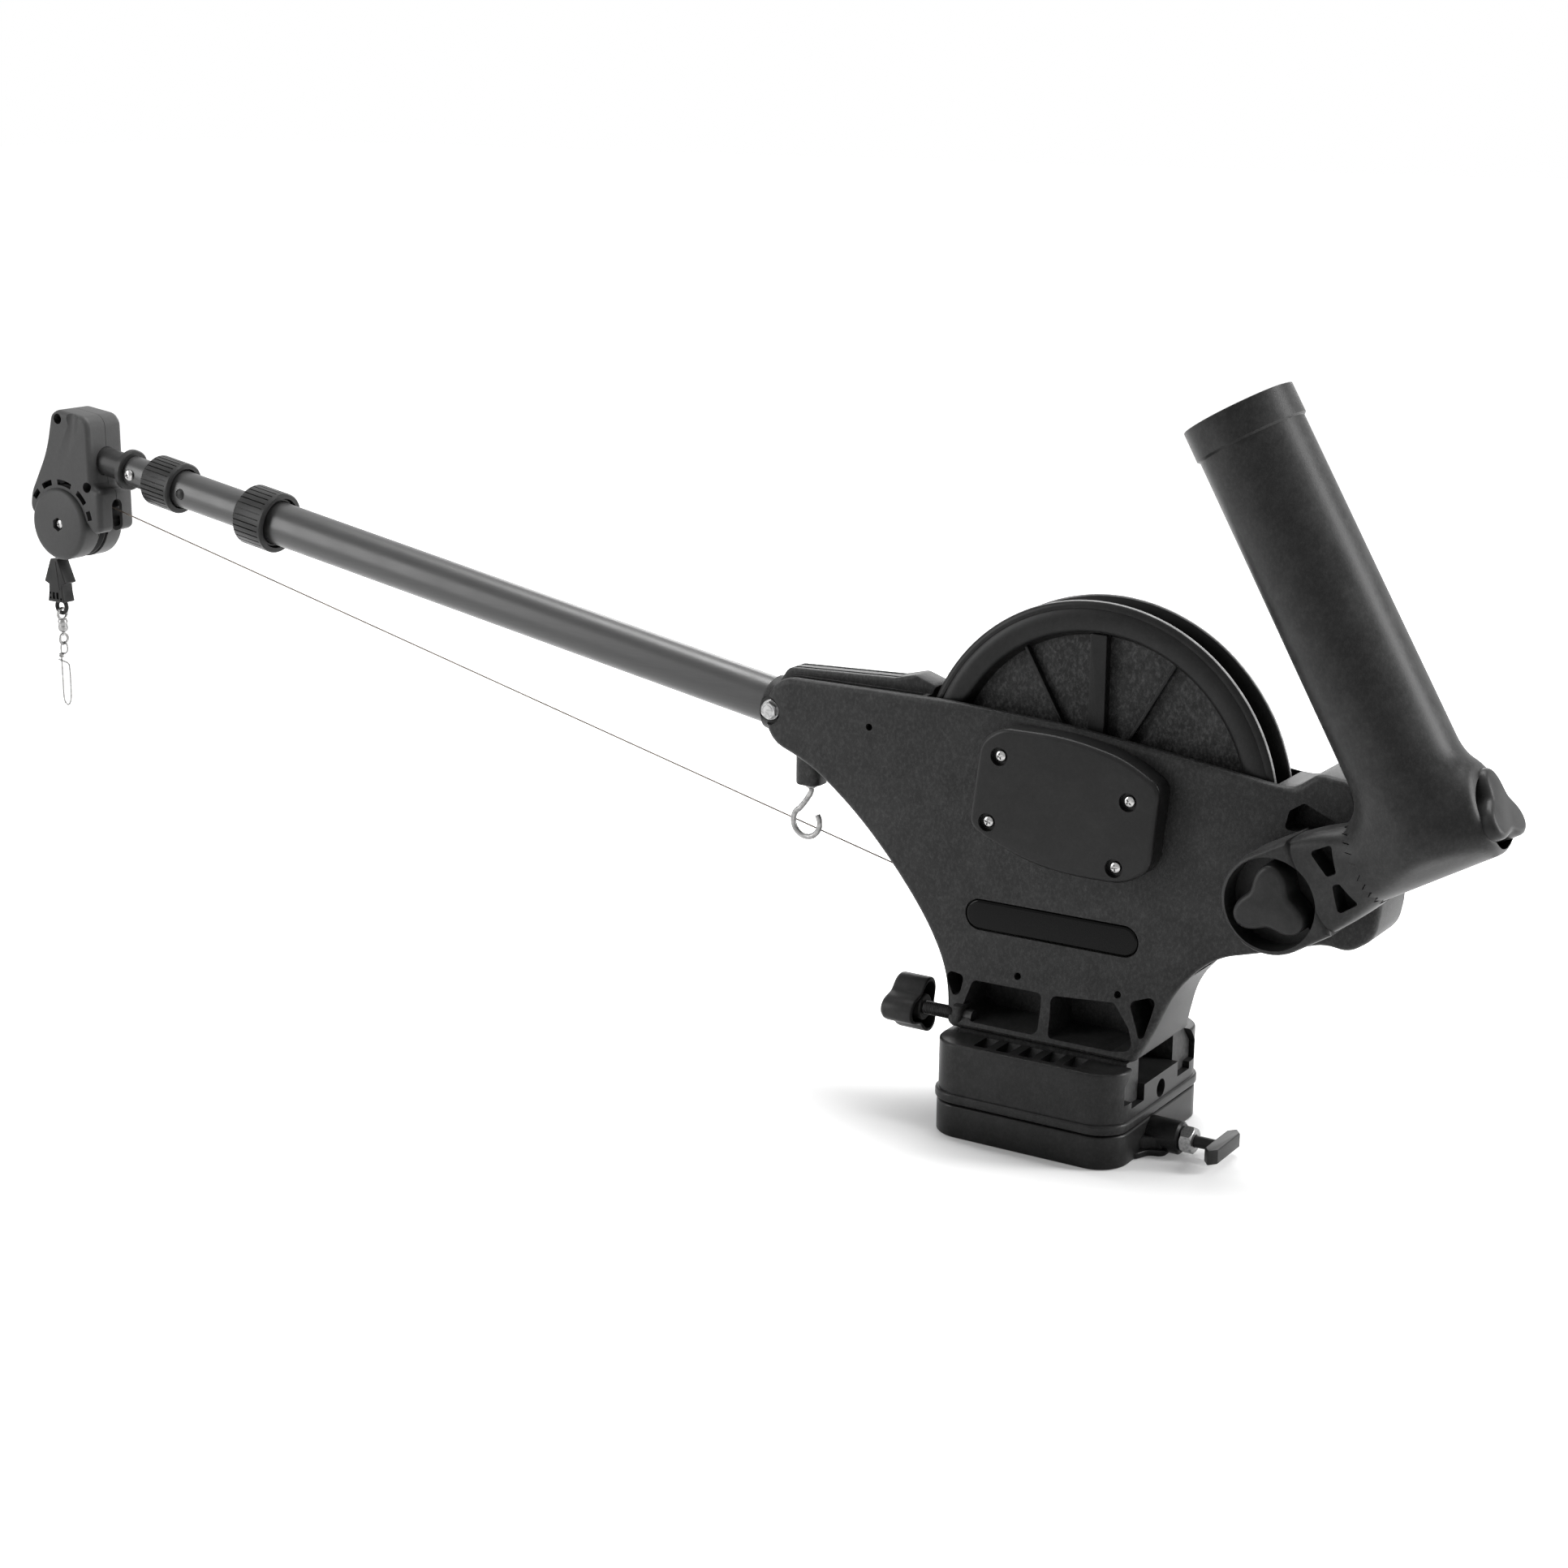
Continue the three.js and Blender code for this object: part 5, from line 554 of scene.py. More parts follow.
windows = [((-70.3, 86.2), (-55.6, 84.3), (-56.4, 67.8)),
           ((-49.6, 82.9), (-5.7, 83.1), (-2.6, 61.7), (-43.9, 61.7), (-53.1, 66.2)),
           ((0.1, 82.9), (38.9, 85.8), (50.5, 74), (56.4, 63.6), (43.9, 61.7), (4.2, 61.7)),
           ((47.6, 87.7), (64.2, 93.8), (60.2, 70.4), (57.4, 70.2))]
ear_pocket = [(132.2, 199.6), (134.7, 210.2), (142.8, 215.5), (161.9, 207.3), (158, 199)]
tools.append(slab(rounded(ear_pocket, 2.2, 4), -30, -6, "y"))
for ring in windows:
    for side in (-1, 1):
        tools.append(slab(rounded(ring, 3.2, 4), *span(side, 2, 60), "y"))
wide_groove = [(-190, 233.5), (-96, 231), (-90, 239), (-97, 262), (-190, 262)]
top_groove = [(-184, 242.4), (-112, 244.4), (-108, 262), (-184, 262)]
for side in (-1, 1):
    tools.append(slab(rounded(wide_groove, 3), *span(side, 10.6, 15.4), "y"))
    tools.append(slab(rounded(top_groove, 2), *span(side, 2.6, 5.4), "y"))
body = carved(body, *tools)
runner = ((22.6, 57.4), (22.6, 32.2), (37.7, 32.2), (37.7, 36.2), (45.4, 36.2), (45.4, 46.4), (37.7, 55.1),
          (37.7, 57.4))
body = together(body, *[slab([(side * y, z) for y, z in runner], -50.2, 55, "x") for side in (1, -1)])
clamp_boss = slab(rounded(rectangle(-57, -50.6, -36.5, -23.5), 2), 57.5, 69.5, "z", 0.8)
body = together(body, carved(clamp_boss, rod("x", -80, -44, stud_axis, 4.3, 32)))
fit("frame_moulding", body, "frame", ["frame"], frame_grey)

# Name plate: a domed gloss plate pressed into a recess. It is left bare.
gloss = moulded("gloss black", "gloss_black", grey(0.002), grey(0.004), streaks=0.1, clouds=0.3,
                roughness=0.1, grain=0.05, bump=0, specular=0.08)
badge = slab(rounded(rectangle(-57.4, 50.4, 112.1, 129.9), 8.9, 12), -20.4, -18.4, "y", 1.7, 5, 0.0)
fit("name_plate", badge, "frame", ["badge_plate"], gloss)

# Boom bolt and nut: a plated flange screw through the frame and the outer tube.
head = together(hex_nut("y", -19.3, -15.9, boom_bolt, 9.4, 0),
                turned([(0, -16.5), (5.9, -16.5), (6.3, -15.9), (6.3, -15.3), (0, -15.3)], "y", boom_bolt),
                turned([(0, -19.7), (3.0, -19.7), (3.6, -19.3), (3.6, -19.0), (0, -19.0)], "y", boom_bolt),
                rod("y", -15.5, 19.3, boom_bolt, 3.1, 24))
fit("boom_bolt_screw", head, "frame", ["boom_bolt"], zinc)
fit("boom_bolt_nut", hex_nut("y", 15.3, 19.3, boom_bolt, 10.4, 3.4), "frame", ["boom_nut"], zinc)

# Weight hook: bent stainless wire screwed up into the boss under the arm.
def wire(route, radius, sides=16, steps=8):
    """A round wire along a smooth curve through its route's points, in millimetres."""
    spots = [Vector(p) for p in route]
    last, line = len(spots) - 1, []
    for i in range(last):
        a, b, c, d = (spots[min(max(i + k, 0), last)] for k in (-1, 0, 1, 2))
        for t in (k / steps for k in range(steps)):
            line.append((2 * b + (c - a) * t + (2 * a - 5 * b + 4 * c - d) * t * t
                         + (3 * b - a - 3 * c + d) * t ** 3) / 2)
    line.append(spots[-1])
    curve = bpy.data.curves.new("route", "CURVE")
    curve.dimensions = "3D"
    spline = curve.splines.new("POLY")
    spline.points.add(len(line) - 1)
    for point, spot in zip(spline.points, line):
        point.co = (*spot, 1)
    curve.bevel_depth = radius
    curve.bevel_resolution = max(0, sides // 4 - 1) + (1 if sides > 8 else 0)
    curve.use_fill_caps = True
    shape = bpy.data.objects.new("route", curve)
    scene.collection.objects.link(shape)
    drawn = shape.evaluated_get(bpy.context.evaluated_depsgraph_get())
    bm = bmesh.new()
    bm.from_mesh(bpy.data.meshes.new_from_object(drawn))
    bpy.data.objects.remove(shape)
    return sewn(bm, 1e-4)


loop = [placed("y", *polar(9.2, radians(a), (-175.5, 152.5)), -3.4) for a in range(135, 396, 20)]
hook = wire([(*hook_axis, 187.5), (*hook_axis, 180), (*hook_axis, 174.5), (-172.6, -3.4, 171),
             (-176, -3.4, 165.5), (-180.5, -3.4, 160)] + loop, 1.75, 24)
neck = turned([(0, 173.4), (1.75, 173.4), (3.4, 174.6), (3.4, 176.2), (0, 176.2)], "z", hook_axis, 32)
fit("weight_hook_wire", together(hook, neck), "frame", ["weight_hook"], wire_steel)

# Foot clamp: a lobed knob on a black threaded stud, which pinches the frame's runners in the channels.
def lobed(radius, waist, lobes=3, steps=96, turn=0.0):
    return [polar(radius * (1 - waist * (1 - cos(a * lobes)) / 2), a + turn)
            for a in (tau * i / steps for i in range(steps))]


def lobed_knob(radius, depth, wall, hub, place, towards, turn=0.0, lobes=3, waist=0.3, stud=None):
    """A hollow-backed lobed knob with a hub, made upright and then aimed from its place."""
    shell = slab(lobed(radius, waist, lobes, turn=turn), 0, depth, "z", 1.0, 3, min(3.2, depth / 4))
    hollow = slab(lobed(radius - wall, waist, lobes, turn=turn), -2, depth - wall * 1.6, "z")
    core = rod("z", 0, depth - wall, (0, 0), hub, 48, 0.6)
    knob = joined(carved(shell, hollow), core)
    if stud:
        radius, low, high = stud
        knob = carved(knob, rod("z", low, high, (0, 0), radius, 32))
    tip = Vector((0, 0, 1)).rotation_difference(Vector(towards))
    aim = Matrix.Translation(place) @ tip.to_matrix().to_4x4()
    bmesh.ops.transform(knob, matrix=aim, verts=knob.verts)
    return knob


half_pitch = 0.6
thread = [(0, -94), (3.2, -94)]
thread += [(4 if i % 2 else 3.5, -93 + half_pitch * i) for i in range(60)]
stud = turned(thread + [(4, -57), (4, -45.3), (0, -45.3)], "x", stud_axis, 32)
fit("clamp_stud", stud, "frame", ["base_clamp_stud"], dark_zinc)
knob = lobed_knob(18, 21, 2.4, 7.6, placed("x", *stud_axis, -77), (-1, 0, 0), 0.5, waist=0.4,
                  stud=(4.3, -3, 18.8))
fit("clamp_knob", knob, "base_clamp", ["base_clamp_knob"], knob_black, soften=0.2)

# Side cover over the anti-reverse wheel: a smooth pillowed lid with four sunk screw seats.
cover_grey = moulded("smooth nylon", "frame_plastic", grey(0.015), grey(0.03), streaks=0.12, clouds=0.4,
                     roughness=0.33, grain=0.3)
lid_shares = [(-0.505, 0.285, 26), (-0.42, 0.336, 60), (-0.06, 0.338, 400), (0.255, 0.272, 400),
              (0.44, 0.165, 30), (0.462, 0.11, 30), (0.422, -0.285, 16), (0.28, -0.378, 60),
              (-0.03, -0.38, 400), (-0.27, -0.345, 400), (-0.52, -0.25, 60), (-0.601, -0.195, 14),
              (-0.548, 0.23, 30)]
reel_radius = 109.3
lid_ring = rounded([(reel_axis[0] + reel_radius * a, reel_axis[1] + reel_radius * b, radius)
                    for a, b, radius in lid_shares], 13, 6)
lid = slab(lid_ring, -34, -20.3, "y", 8, 8, 0.0)
inner = [((p[0] - 10) * 0.92 + 10, (p[1] - 197) * 0.9 + 197) for p in lid_ring]
lid = carved(lid, slab(inner, -30.8, -15, "y"))
lid = together(lid, *[rod("y", -30.9, -20.4, at, 6.6, 32) for at in screws])
lid = carved(lid, *[rod("y", -40, -31, at, 5.3, 48) for at in screws],
             *[rod("y", -40, -15, at, 1.9, 24) for at in screws])
fit("side_cover_lid", lid, "frame", ["side_cover"], cover_grey)


def cross_head(axis, seat, out_sign, at, radius, height, shank, reach, turn=0.3):
    """A pan-head screw with a cross recess; out_sign says which way its head stands off its seat."""
    top = seat + out_sign * height
    pan = turned([(0, top), (radius * 0.45, top - out_sign * height * 0.03),
                  (radius * 0.8, top - out_sign * height * 0.22),
                  (radius * 0.97, top - out_sign * height * 0.55), (radius, seat), (0, seat)], axis, at, 48)
    pan = joined(pan, rod(axis, *sorted((seat + out_sign * 0.1, reach)), at, shank, 24))
    blades = []
    w, l = radius * 0.13, radius * 0.56
    for a in (turn, turn + pi / 2):
        c, s = cos(a), sin(a)
        ring = [(at[0] + c * x - s * y, at[1] + s * x + c * y) for x, y in rectangle(-l, l, -w, w)]
        blades.append(slab(ring, *sorted((top - out_sign * height * 0.75, top + out_sign)), axis))
    return carved(pan, *blades)


for i, at in enumerate(screws):
    screw = cross_head("y", -31.3, -1, at, 3.4, 1.8, 1.6, -17.6, 0.3 + i)
    fit(f"cover_screw_head_{i + 1}", screw, "frame", [f"cover_screw_{i + 1}"], polished)

# Anti-reverse wheel and pawl, hidden under the cover, keep their solids and get a plated finish.
for name in ("ratchet_wheel", "pawl", "pawl_pin"):
    frame["nodes"][name].material_slots[0].material = zinc

# Reel: two moulded flanges with a convex rim and a pale edge, partly wear and partly painted
# highlight, a sunk fibre web, three round spokes and six ribs.
reel_black = moulded("reel nylon", "dark_plastic", grey(0.01), grey(0.04), streaks=0.1, clouds=0.25,
                     roughness=0.34, grain=0.4)
reel_web = moulded("reel web nylon", "dark_plastic", grey(0.006), grey(0.09), streaks=0.85, clouds=0.35,
                   roughness=0.5, grain=1.0)
# Pale rim colour: partly wear, partly a painted highlight where the rim light catches the edge.
reel_rim_wear_and_highlight = moulded("reel rim wear and painted highlight", "dark_plastic", grey(0.16), grey(0.4), streaks=0.2, clouds=0.7,
                    roughness=0.38, grain=0.3)
core = 91.3
for side, name in ((-1, "near"), (1, "far")):
    profile = [(6.8, 0.2), (6.8, 14), (7.4, 14.2), (12.2, 14.2), (13, 13.4), (13, 5.5), (core - 2, 5.5),
               (core - 1, 6.5), (91.4, 11.0), (92.2, 12.1), (94, 12.9), (97, 13.5), (100, 13.6),
               (102.6, 13.2), (104.2, 12.6), (104.7, 12.3), (105.1, 12.6), (106.4, 12.7), (107.9, 12.3),
               (108.9, 11.5), (109.3, 10.4), (109.1, 9.5), (108.4, 9.1), (core, 9.1), (core, 0.2),
               (core - 3.2, 0.2), (core - 3.2, 2.3), (13, 2.3), (13, 0.2)]
    flange = turned([(r, side * h) for r, h in profile], "y", reel_axis, 160)
    bars = []
    for i in range(9):
        spoke, rib = divmod(i, 3)
        angle = pi / 2 + tau * spoke / 3 + (rib - 1) * radians(30)
        thick, top, low = ((5.0, 11.0, 5.2), (0.9, 9.4, 5.2))[rib != 1]
        crest = thick * 0.7 if rib == 1 else 0.4
        bar = slab(rounded(rectangle(12, core - 0.6, -thick, thick), 0.3, 1), *span(side, low, top), "y",
                   0 if side > 0 else crest, 5, 0 if side < 0 else crest)
        bars.append(swung(bar, -angle, "Y"))
        bmesh.ops.translate(bar, vec=placed("y", *reel_axis, 0), verts=bar.verts)
    flange = together(flange, *bars)
    half = fit(f"reel_{name}_flange", flange, "reel", [f"reel_{name}_half"], reel_black)
    half.data.materials.append(reel_web)
    half.data.materials.append(reel_rim_wear_and_highlight)
    for polygon in half.data.polygons:
        spot = polygon.center
        away = hypot(spot.x - reel_axis[0] * millimetre, spot.z - reel_axis[1] * millimetre)
        if abs(abs(polygon.normal.y) - 1) < 0.02 and abs(abs(spot.y) - 0.0055) < 0.0002 and away < 0.09:
            polygon.material_index = 1
        # The outer rim faces take the pale colour: wear and painted highlight.
        if away > 0.1081 and abs(spot.y) < 0.0118:
            polygon.material_index = 2

# Wound cable: a top layer of turns side by side over the full ones below, on the reel's drum.
cable_look = plating("steel cable", "cable_steel", (0.13, 0.105, 0.085, 1), (0.06, 0.045, 0.035, 1), 0.4,
                     metallic=0.5, bump=0.00003)
cable_radius = 0.475
leave, coil_radius = radians(-103.8), 93.2
turns, pitch, steps = 8.7, 0.98, 72
coil = []
for i in range(int(turns * steps * 2) + 1):
    swing = -turns * tau + i * tau / steps
    coil.append(placed("y", *polar(coil_radius, leave + swing, reel_axis), pitch * swing / tau))
below = turned([(91.5, -8.9), (92.9, -8.9), (92.9, 8.9), (91.5, 8.9)], "y", reel_axis, 128)
fit("wound_cable", together(wire(coil, cable_radius, 8, 1), below), "reel", ["cable_winding"], cable_look)

# Reel shaft, its moulded bushings in the frame, and the brake lining between reel and crank
shaft = rod("y", -27, 41.4, reel_axis, 6.5, 48, 0.8)
fit("reel_axle", shaft, "reel", ["reel_shaft"], polished)
tan_nylon = moulded("tan nylon", "bushing_plastic", (0.35, 0.3, 0.2, 1), (0.45, 0.4, 0.3, 1), streaks=0.1,
                    clouds=0.3, roughness=0.45, grain=0.2)
for name, side in (("near_bushing", -1), ("far_bushing", 1)):
    bush = turned([(6.8, side * 15.7), (9.6, side * 15.7), (10, side * 16.1), (10, side * 20.3),
                   (12.2, side * 20.3), (12.5, side * 20.6), (12.5, side * 21.3), (12.2, side * 21.5),
                   (6.8, side * 21.5)], "y", reel_axis)
    fit(f"{name}_sleeve", bush, "frame", [name], tan_nylon)
lining = turned([(6.8, 22.7), (15.7, 22.7), (16, 23), (16, 24.4), (15.7, 24.7), (6.8, 24.7)], "y", reel_axis)
fit("brake_lining", lining, "reel", ["clutch_lining"], tan_nylon)


# Crank: a moulded arm on the far side, with a turned handle on a steel spindle.
def link(a, ra, b, rb, steps=24):
    """The outline round two circles, as a belt would lie on them."""
    a, b = Vector(a), Vector(b)
    along = atan2(b.y - a.y, b.x - a.x)
    lean = acos(max(-1, min(1, (ra - rb) / (b - a).length)))
    ring = []
    for centre, r, start, sweep in ((a, ra, along + lean, tau - 2 * lean), (b, rb, along - lean, 2 * lean)):
        ring += [polar(r, start + sweep * i / steps, centre) for i in range(steps + 1)]
    return ring


grip_axis = (58.89, 117.57)
arm = slab(link(reel_axis, 15, grip_axis, 10), 25, 31, "y", 1.2, 3)
dish = slab(link((22, 187), 7.5, (53.5, 127.7), 5), 29.6, 34, "y")
arm = carved(arm, rod("y", 20, 40, reel_axis, 6.8), dish)
arm = joined(arm, slab(link((16, 198.4), 3, (58.6, 118), 2), 26, 30.6, "y"))
arm = carved(arm, rod("y", 20, 40, reel_axis, 6.8), rod("y", 20, 40, grip_axis, 4.1))
fit("crank_arm_moulding", arm, "reel", ["crank_arm"], knob_black)
spindle = turned([(0, 25.1), (4, 25.1), (4, 72.65), (6.5, 72.65), (6.5, 74.4), (5.6, 75.3), (3, 75.6),
                  (0, 75.6)], "y", grip_axis)
spindle = carved(spindle, slab(rounded([(54.6, 116.9), (63.2, 116.9), (63.2, 118.2), (54.6, 118.2)], 0.1),
                               74.6, 78, "y"))
fit("crank_spindle_screw", spindle, "reel", ["crank_spindle"], polished)
grip = turned([(4.3, 31.9), (9.4, 31.9), (10.1, 32.4), (11.6, 33.4), (11.4, 34.4), (9.6, 37), (9.3, 39.2),
               (9.9, 43.6), (11.4, 50.6), (13, 57.8), (14, 65.2), (14, 69.6), (13.2, 73.2), (11.4, 75.2),
               (9, 75.9), (7, 75.9), (7, 72.3), (4.3, 72.3)], "y", grip_axis, 72)
fit("crank_grip_handle", grip, "crank_grip", ["crank_knob"], knob_black)

# Clutch knob: a six-lobed star that sets the drag on the reel.
star = lobed_knob(20, 13, 2.2, 10.5, placed("y", *reel_axis, 32), (0, 1, 0), 0.1, 6, 0.2,
                  stud=(6.8, -2, 10.4))
fit("clutch_star", star, "clutch", ["clutch_knob"], knob_black, soften=0.2)

# Line counter on the far side of the arm: a housing, a lens and three drums on a shaft
drum_axis = (29.5, 212)
case = slab(rounded(rectangle(-146, -102, 200, 224), 4, 5), 20.3, 38.7, "y", 0.3, 3, 2)
case = carved(case, slab(rounded(rectangle(-143.8, -104.2, 202.2, 221.8), 2.5), 18, 36.5, "y"))
case = carved(case, block((-140, 25.5, 220), (-108, 33.5, 230)))
fit("counter_case", case, "frame", ["counter_housing"], knob_black)
lens = bpy.data.materials.new("clear lens")
lens.use_nodes = True
lens["slot"] = "clear_lens"
clear = lens.node_tree.nodes["Principled BSDF"]
clear.inputs["Roughness"].default_value = 0.04
clear.inputs["Alpha"].default_value = 0.25
low, high = (Vector(c) * 1000 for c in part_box("counter_lens"))
fit("counter_window", block(low, high, 0.3), "frame", ["counter_lens"], lens)
white = moulded("white nylon", "white_plastic", grey(0.72), grey(0.8), streaks=0.05, clouds=0.2,
                roughness=0.4, grain=0.1)
for i in range(3):
    x = -134.8 + 10.8 * i
    drum = turned([(1.9, x - 4.5), (5.9, x - 4.5), (6.4, x - 4.1), (6.4, x - 3.6), (6.1, x - 3.4),
                   (6.1, x + 3.4), (6.4, x + 3.6), (6.4, x + 4.1), (5.9, x + 4.5), (1.9, x + 4.5)], "x",
                  drum_axis, 60)
    fit(f"counter_drum_{i + 1}", drum, f"digits_{i + 1}", [f"counter_wheel_{i + 1}"], white)
low, high = (Vector(c) * 1000 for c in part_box("counter_shaft"))
fit("counter_axle", rod("x", low.x, high.x, drum_axis, 1.6, 24), "frame", ["counter_shaft"], polished)

# Boom: three anodised tubes, one inside the other, which slide out to the front.
anodised, given = group("anodised tube", Colour=grey(0.05), Roughness=0.3)
place = add(anodised, "TexCoord").outputs["Object"]
drawn = add(anodised, "Mapping", {"Vector": place, "Rotation": (0, -radians(boom_rise), 0),
            "Scale": (0.02, 1, 1)})
lines = add(anodised, "TexNoise", {"Vector": drawn, "Scale": 700, "Detail": 3})
wear = add(anodised, "TexNoise", {"Vector": place, "Scale": 60, "Detail": 4})
faint = add(anodised, "MapRange", {0: lines, 1: 0.3, 2: 0.7, 3: 0.92, 4: 1.06})
tint = add(anodised, "Mix", {0: 1.0, 6: given["Colour"], 7: faint}, data_type="RGBA",
           blend_type="MULTIPLY")
rough = add(anodised, "Math", {0: wear, 1: 0.14, 2: given["Roughness"]},
            operation="MULTIPLY_ADD")
hand_out(anodised, Colour=tint.outputs[2], Roughness=rough.outputs[0], Height=lines.outputs["Fac"])
dark_tube = finish("dark anodised tube", "anodised_tube", anodised, metallic=0.2, bump=0, specular=0.5,
                   Colour=grey(0.035), Roughness=0.3)


def tube(radius, wall, start, end):
    """A cut length of tube along the boom, from start to end beyond its bolt."""
    return turned([(radius - wall, -end + 0.3), (radius - wall + 0.3, -end), (radius - 0.3, -end),
                   (radius, -end + 0.3), (radius, -start - 0.3), (radius - 0.3, -start),
                   (radius - wall, -start)], "x", (0, 0), 96)


outer = carved(tube(14.3, 1.6, -93, 415), rod("y", -20, 20, (0, 0), 3.4, 32))
fit("outer_boom_tube", boom_piece(outer), "frame", ["boom_outer_tube"], dark_tube)
middle = carved(tube(12.4, 1.6, 14, 503), rod("y", -20, 0, (-480, 0), 3.7, 32))
fit("middle_boom_tube", boom_piece(middle), "middle_boom", ["boom_middle_tube"], dark_tube)
inner_tube = carved(tube(10.3, 1.6, 102, 535), rod("y", -20, 0, (-529, 0), 2.1, 32))
fit("inner_boom_tube", boom_piece(inner_tube), "inner_boom", ["boom_inner_tube"], dark_tube)

# Spring button that locks the middle tube, and the screw that keeps the neck in the inner one
button = turned([(0, -13.6), (2, -13.4), (3, -12.9), (3.4, -12.3), (3.4, -10.8), (0, -10.8)], "y", (-480, 0),
                40)
fit("tube_button", boom_piece(button), "middle_boom", ["lock_button"], knob_black)
screw = cross_head("y", -10.6, -1, (-529, 0), 3.8, 2.2, 1.9, -4.6, 0.5)
fit("neck_screw_head", boom_piece(screw), "inner_boom", ["neck_screw"], polished)

# Locking collars: moulded rings with finger flutes, which close on the end of each tube.
collar_black = moulded("collar nylon", "dark_plastic", grey(0.02), grey(0.045), streaks=0.15, clouds=0.4,
                       roughness=0.33, grain=0.3)
for name, body, radius, start, bore, next_bore, lip in (
        ("rear", "rear_collar", 20.2, 401, 14.6, 12.7, 415.3),
        ("front", "front_collar", 17.2, 488, 12.7, 10.6, 503.3)):
    end = start + 27.5
    cavity = radius - 3.4
    ring = turned([(cavity, -start), (radius - 0.8, -start), (radius, -start - 0.8), (radius, -end + 4.4),
                   (radius - 0.3, -end + 3.6), (radius - 3.2, -end + 0.6), (radius - 4, -end),
                   (next_bore, -end), (next_bore, -lip), (bore, -lip), (bore, -start - 6),
                   (cavity, -start - 6)], "x", (0, 0), 132)
    flutes = [swung(block((-end - 1, -0.42, radius - 1.5), (-start - 2.6, 0.42, radius + 1)),
                    tau * i / 32, "X") for i in range(32)]
    ferrule = turned([(bore + 0.3, -start - 2.4), (cavity - 0.9, -start - 2.4), (cavity - 0.3, -start - 3),
                      (cavity - 0.3, -start - 6.2), (bore + 0.3, -start - 6.2)], "x", (0, 0), 96)
    fit(f"{name}_collar_ring", boom_piece(together(carved(ring, *flutes), ferrule)), body,
        [f"{name}_lock_collar"], collar_black)

# Head neck: a moulded spigot in the inner tube, with a ring and a keeper for the head to turn on
neck = turned([(0, -512.2), (8, -512.2), (8.4, -512.8), (8.4, -526.3), (4.62, -526.3), (4.62, -531.7),
               (8.4, -531.7), (8.4, -535.4), (13.2, -535.4), (14, -536.1), (14, -539.2), (13.2, -539.9),
               (9.6, -539.9), (9.6, -566), (11.4, -566), (11.4, -569), (9.6, -569), (9.6, -578), (0, -578)],
              "x", (0, 0), 96)
fit("neck_moulding", boom_piece(neck), "head", ["head_neck"], collar_black)

# Pulley head: two moulded shells round the pulley, with a raised disc, arc slots and screw posts.
head_black = moulded("head nylon", "dark_plastic", grey(0.05), grey(0.085), streaks=0.15, clouds=0.1,
                     roughness=0.42, grain=0.4)


def inset(ring, amount):
    """An outline moved inwards by an even amount."""
    ring = [Vector(p) for p in ring]
    area = sum(a.x * b.y - b.x * a.y for a, b in zip(ring, ring[1:] + ring[:1]))
    sign = 1 if area > 0 else -1
    moved = []
    for i, p in enumerate(ring):
        along = (ring[(i + 1) % len(ring)] - ring[i - 1]).normalized()
        moved.append((p.x - sign * along.y * amount, p.y + sign * along.x * amount))
    return moved


axle = (-776.5, 276)
head_shares = [(0.02, 1, 9), (0.398, 0.95, 9), (0.398, 0.345, 6), (0.49, 0.32, 4), (0.49, -0.03, 5),
               (0.386, -0.06, 4), (0.25, 0.08, 4), (-0.25, 0.08, 4), (-0.345, 0.055, 4), (-0.38, 0.125, 9),
               (-0.362, 0.25, 200), (-0.146, 0.63, 90), (-0.06, 0.96, 7)]
head_rise = 79
head_ring = rounded([(axle[0] + head_rise * a, axle[1] + head_rise * b, radius)
                     for a, b, radius in head_shares], 8, 8)
posts = [(axle[0] + head_rise * a, axle[1] + head_rise * b) for a, b in ((0.035, 0.921), (0.343, 0.348))]


def head_slab(ring, side, a, b, edge=0.0):
    """Pushes an outline from depth a to depth b off the middle plane, rounded at its outer end."""
    return slab(ring, *span(side, a, b), "y", edge if side < 0 else 0, 5, edge if side > 0 else 0.0)


def head_bore(side, radius, a, b, at=axle, steps=64):
    return rod("y", *span(side, a, b), at, radius, steps)


def arc_slot(centre, inner, outer, start, end, steps):
    """The outline of a slot that follows an arc from start to end, in degrees."""
    arc = [radians(start + (end - start) * i / steps) for i in range(steps + 1)]
    return [polar(outer, a, centre) for a in arc] + [polar(inner, a, centre) for a in reversed(arc)]


for name, side in (("near", -1), ("far", 1)):
    shell = head_slab(head_ring, side, 0.15, 16, 4.6)
    disc = turned([(0, side * 4.2), (25, side * 4.2), (25, side * 15.8), (24.7, side * 17), (24, side * 18),
                   (23, side * 18.6), (21.4, side * 19), (0, side * 19)], "y", axle, 96)
    shell = joined(shell, disc)
    hollow = carved(head_slab(inset(head_ring, 2.6), side, -1, 13.4), head_bore(side, 27.2, 3.8, 14.4),
                    *[head_bore(side, 5.2, -1.5, 14.4, at, 32) for at in posts])
    tools = [hollow, head_bore(side, 26.2, -2, 4.2), head_bore(side, 3.3, -2, 24, axle, 32),
             head_slab(hexagon(8.5, axle), side, 15.2, 22)]
    tools += [head_bore(side, 3.6, -2, 20, at, 40) for at in posts]
    for start, end in ((9.5, 22.6), (33, 53.4), (66, 92), (103, 122), (132, 146)):
        tools.append(head_slab(rounded(arc_slot(axle, 27, 31, start, end, 8), 0.8, 3), side, 12, 18))
    tools += [head_slab(rectangle(axle[0], axle[0] + 60, 268, 290.1), side, -2, 4.6),
              rod("x", axle[0], axle[0] + 60, (0, 290.1), 4.6),
              boom_piece(rod("x", -578.6, -535.4, (0, 0), 9.9, 48)),
              boom_piece(rod("x", -569.3, -565.7, (0, 0), 11.7, 48)),
              turned([(0, 310), (3.3, 310), (11, 362.4), (0, 362.4)], "z", (-759.5, side * 23.2), 96)]
    fit(f"{name}_head_shell_moulding", carved(shell, *tools), "head", [f"head_{name}_shell"], head_black)

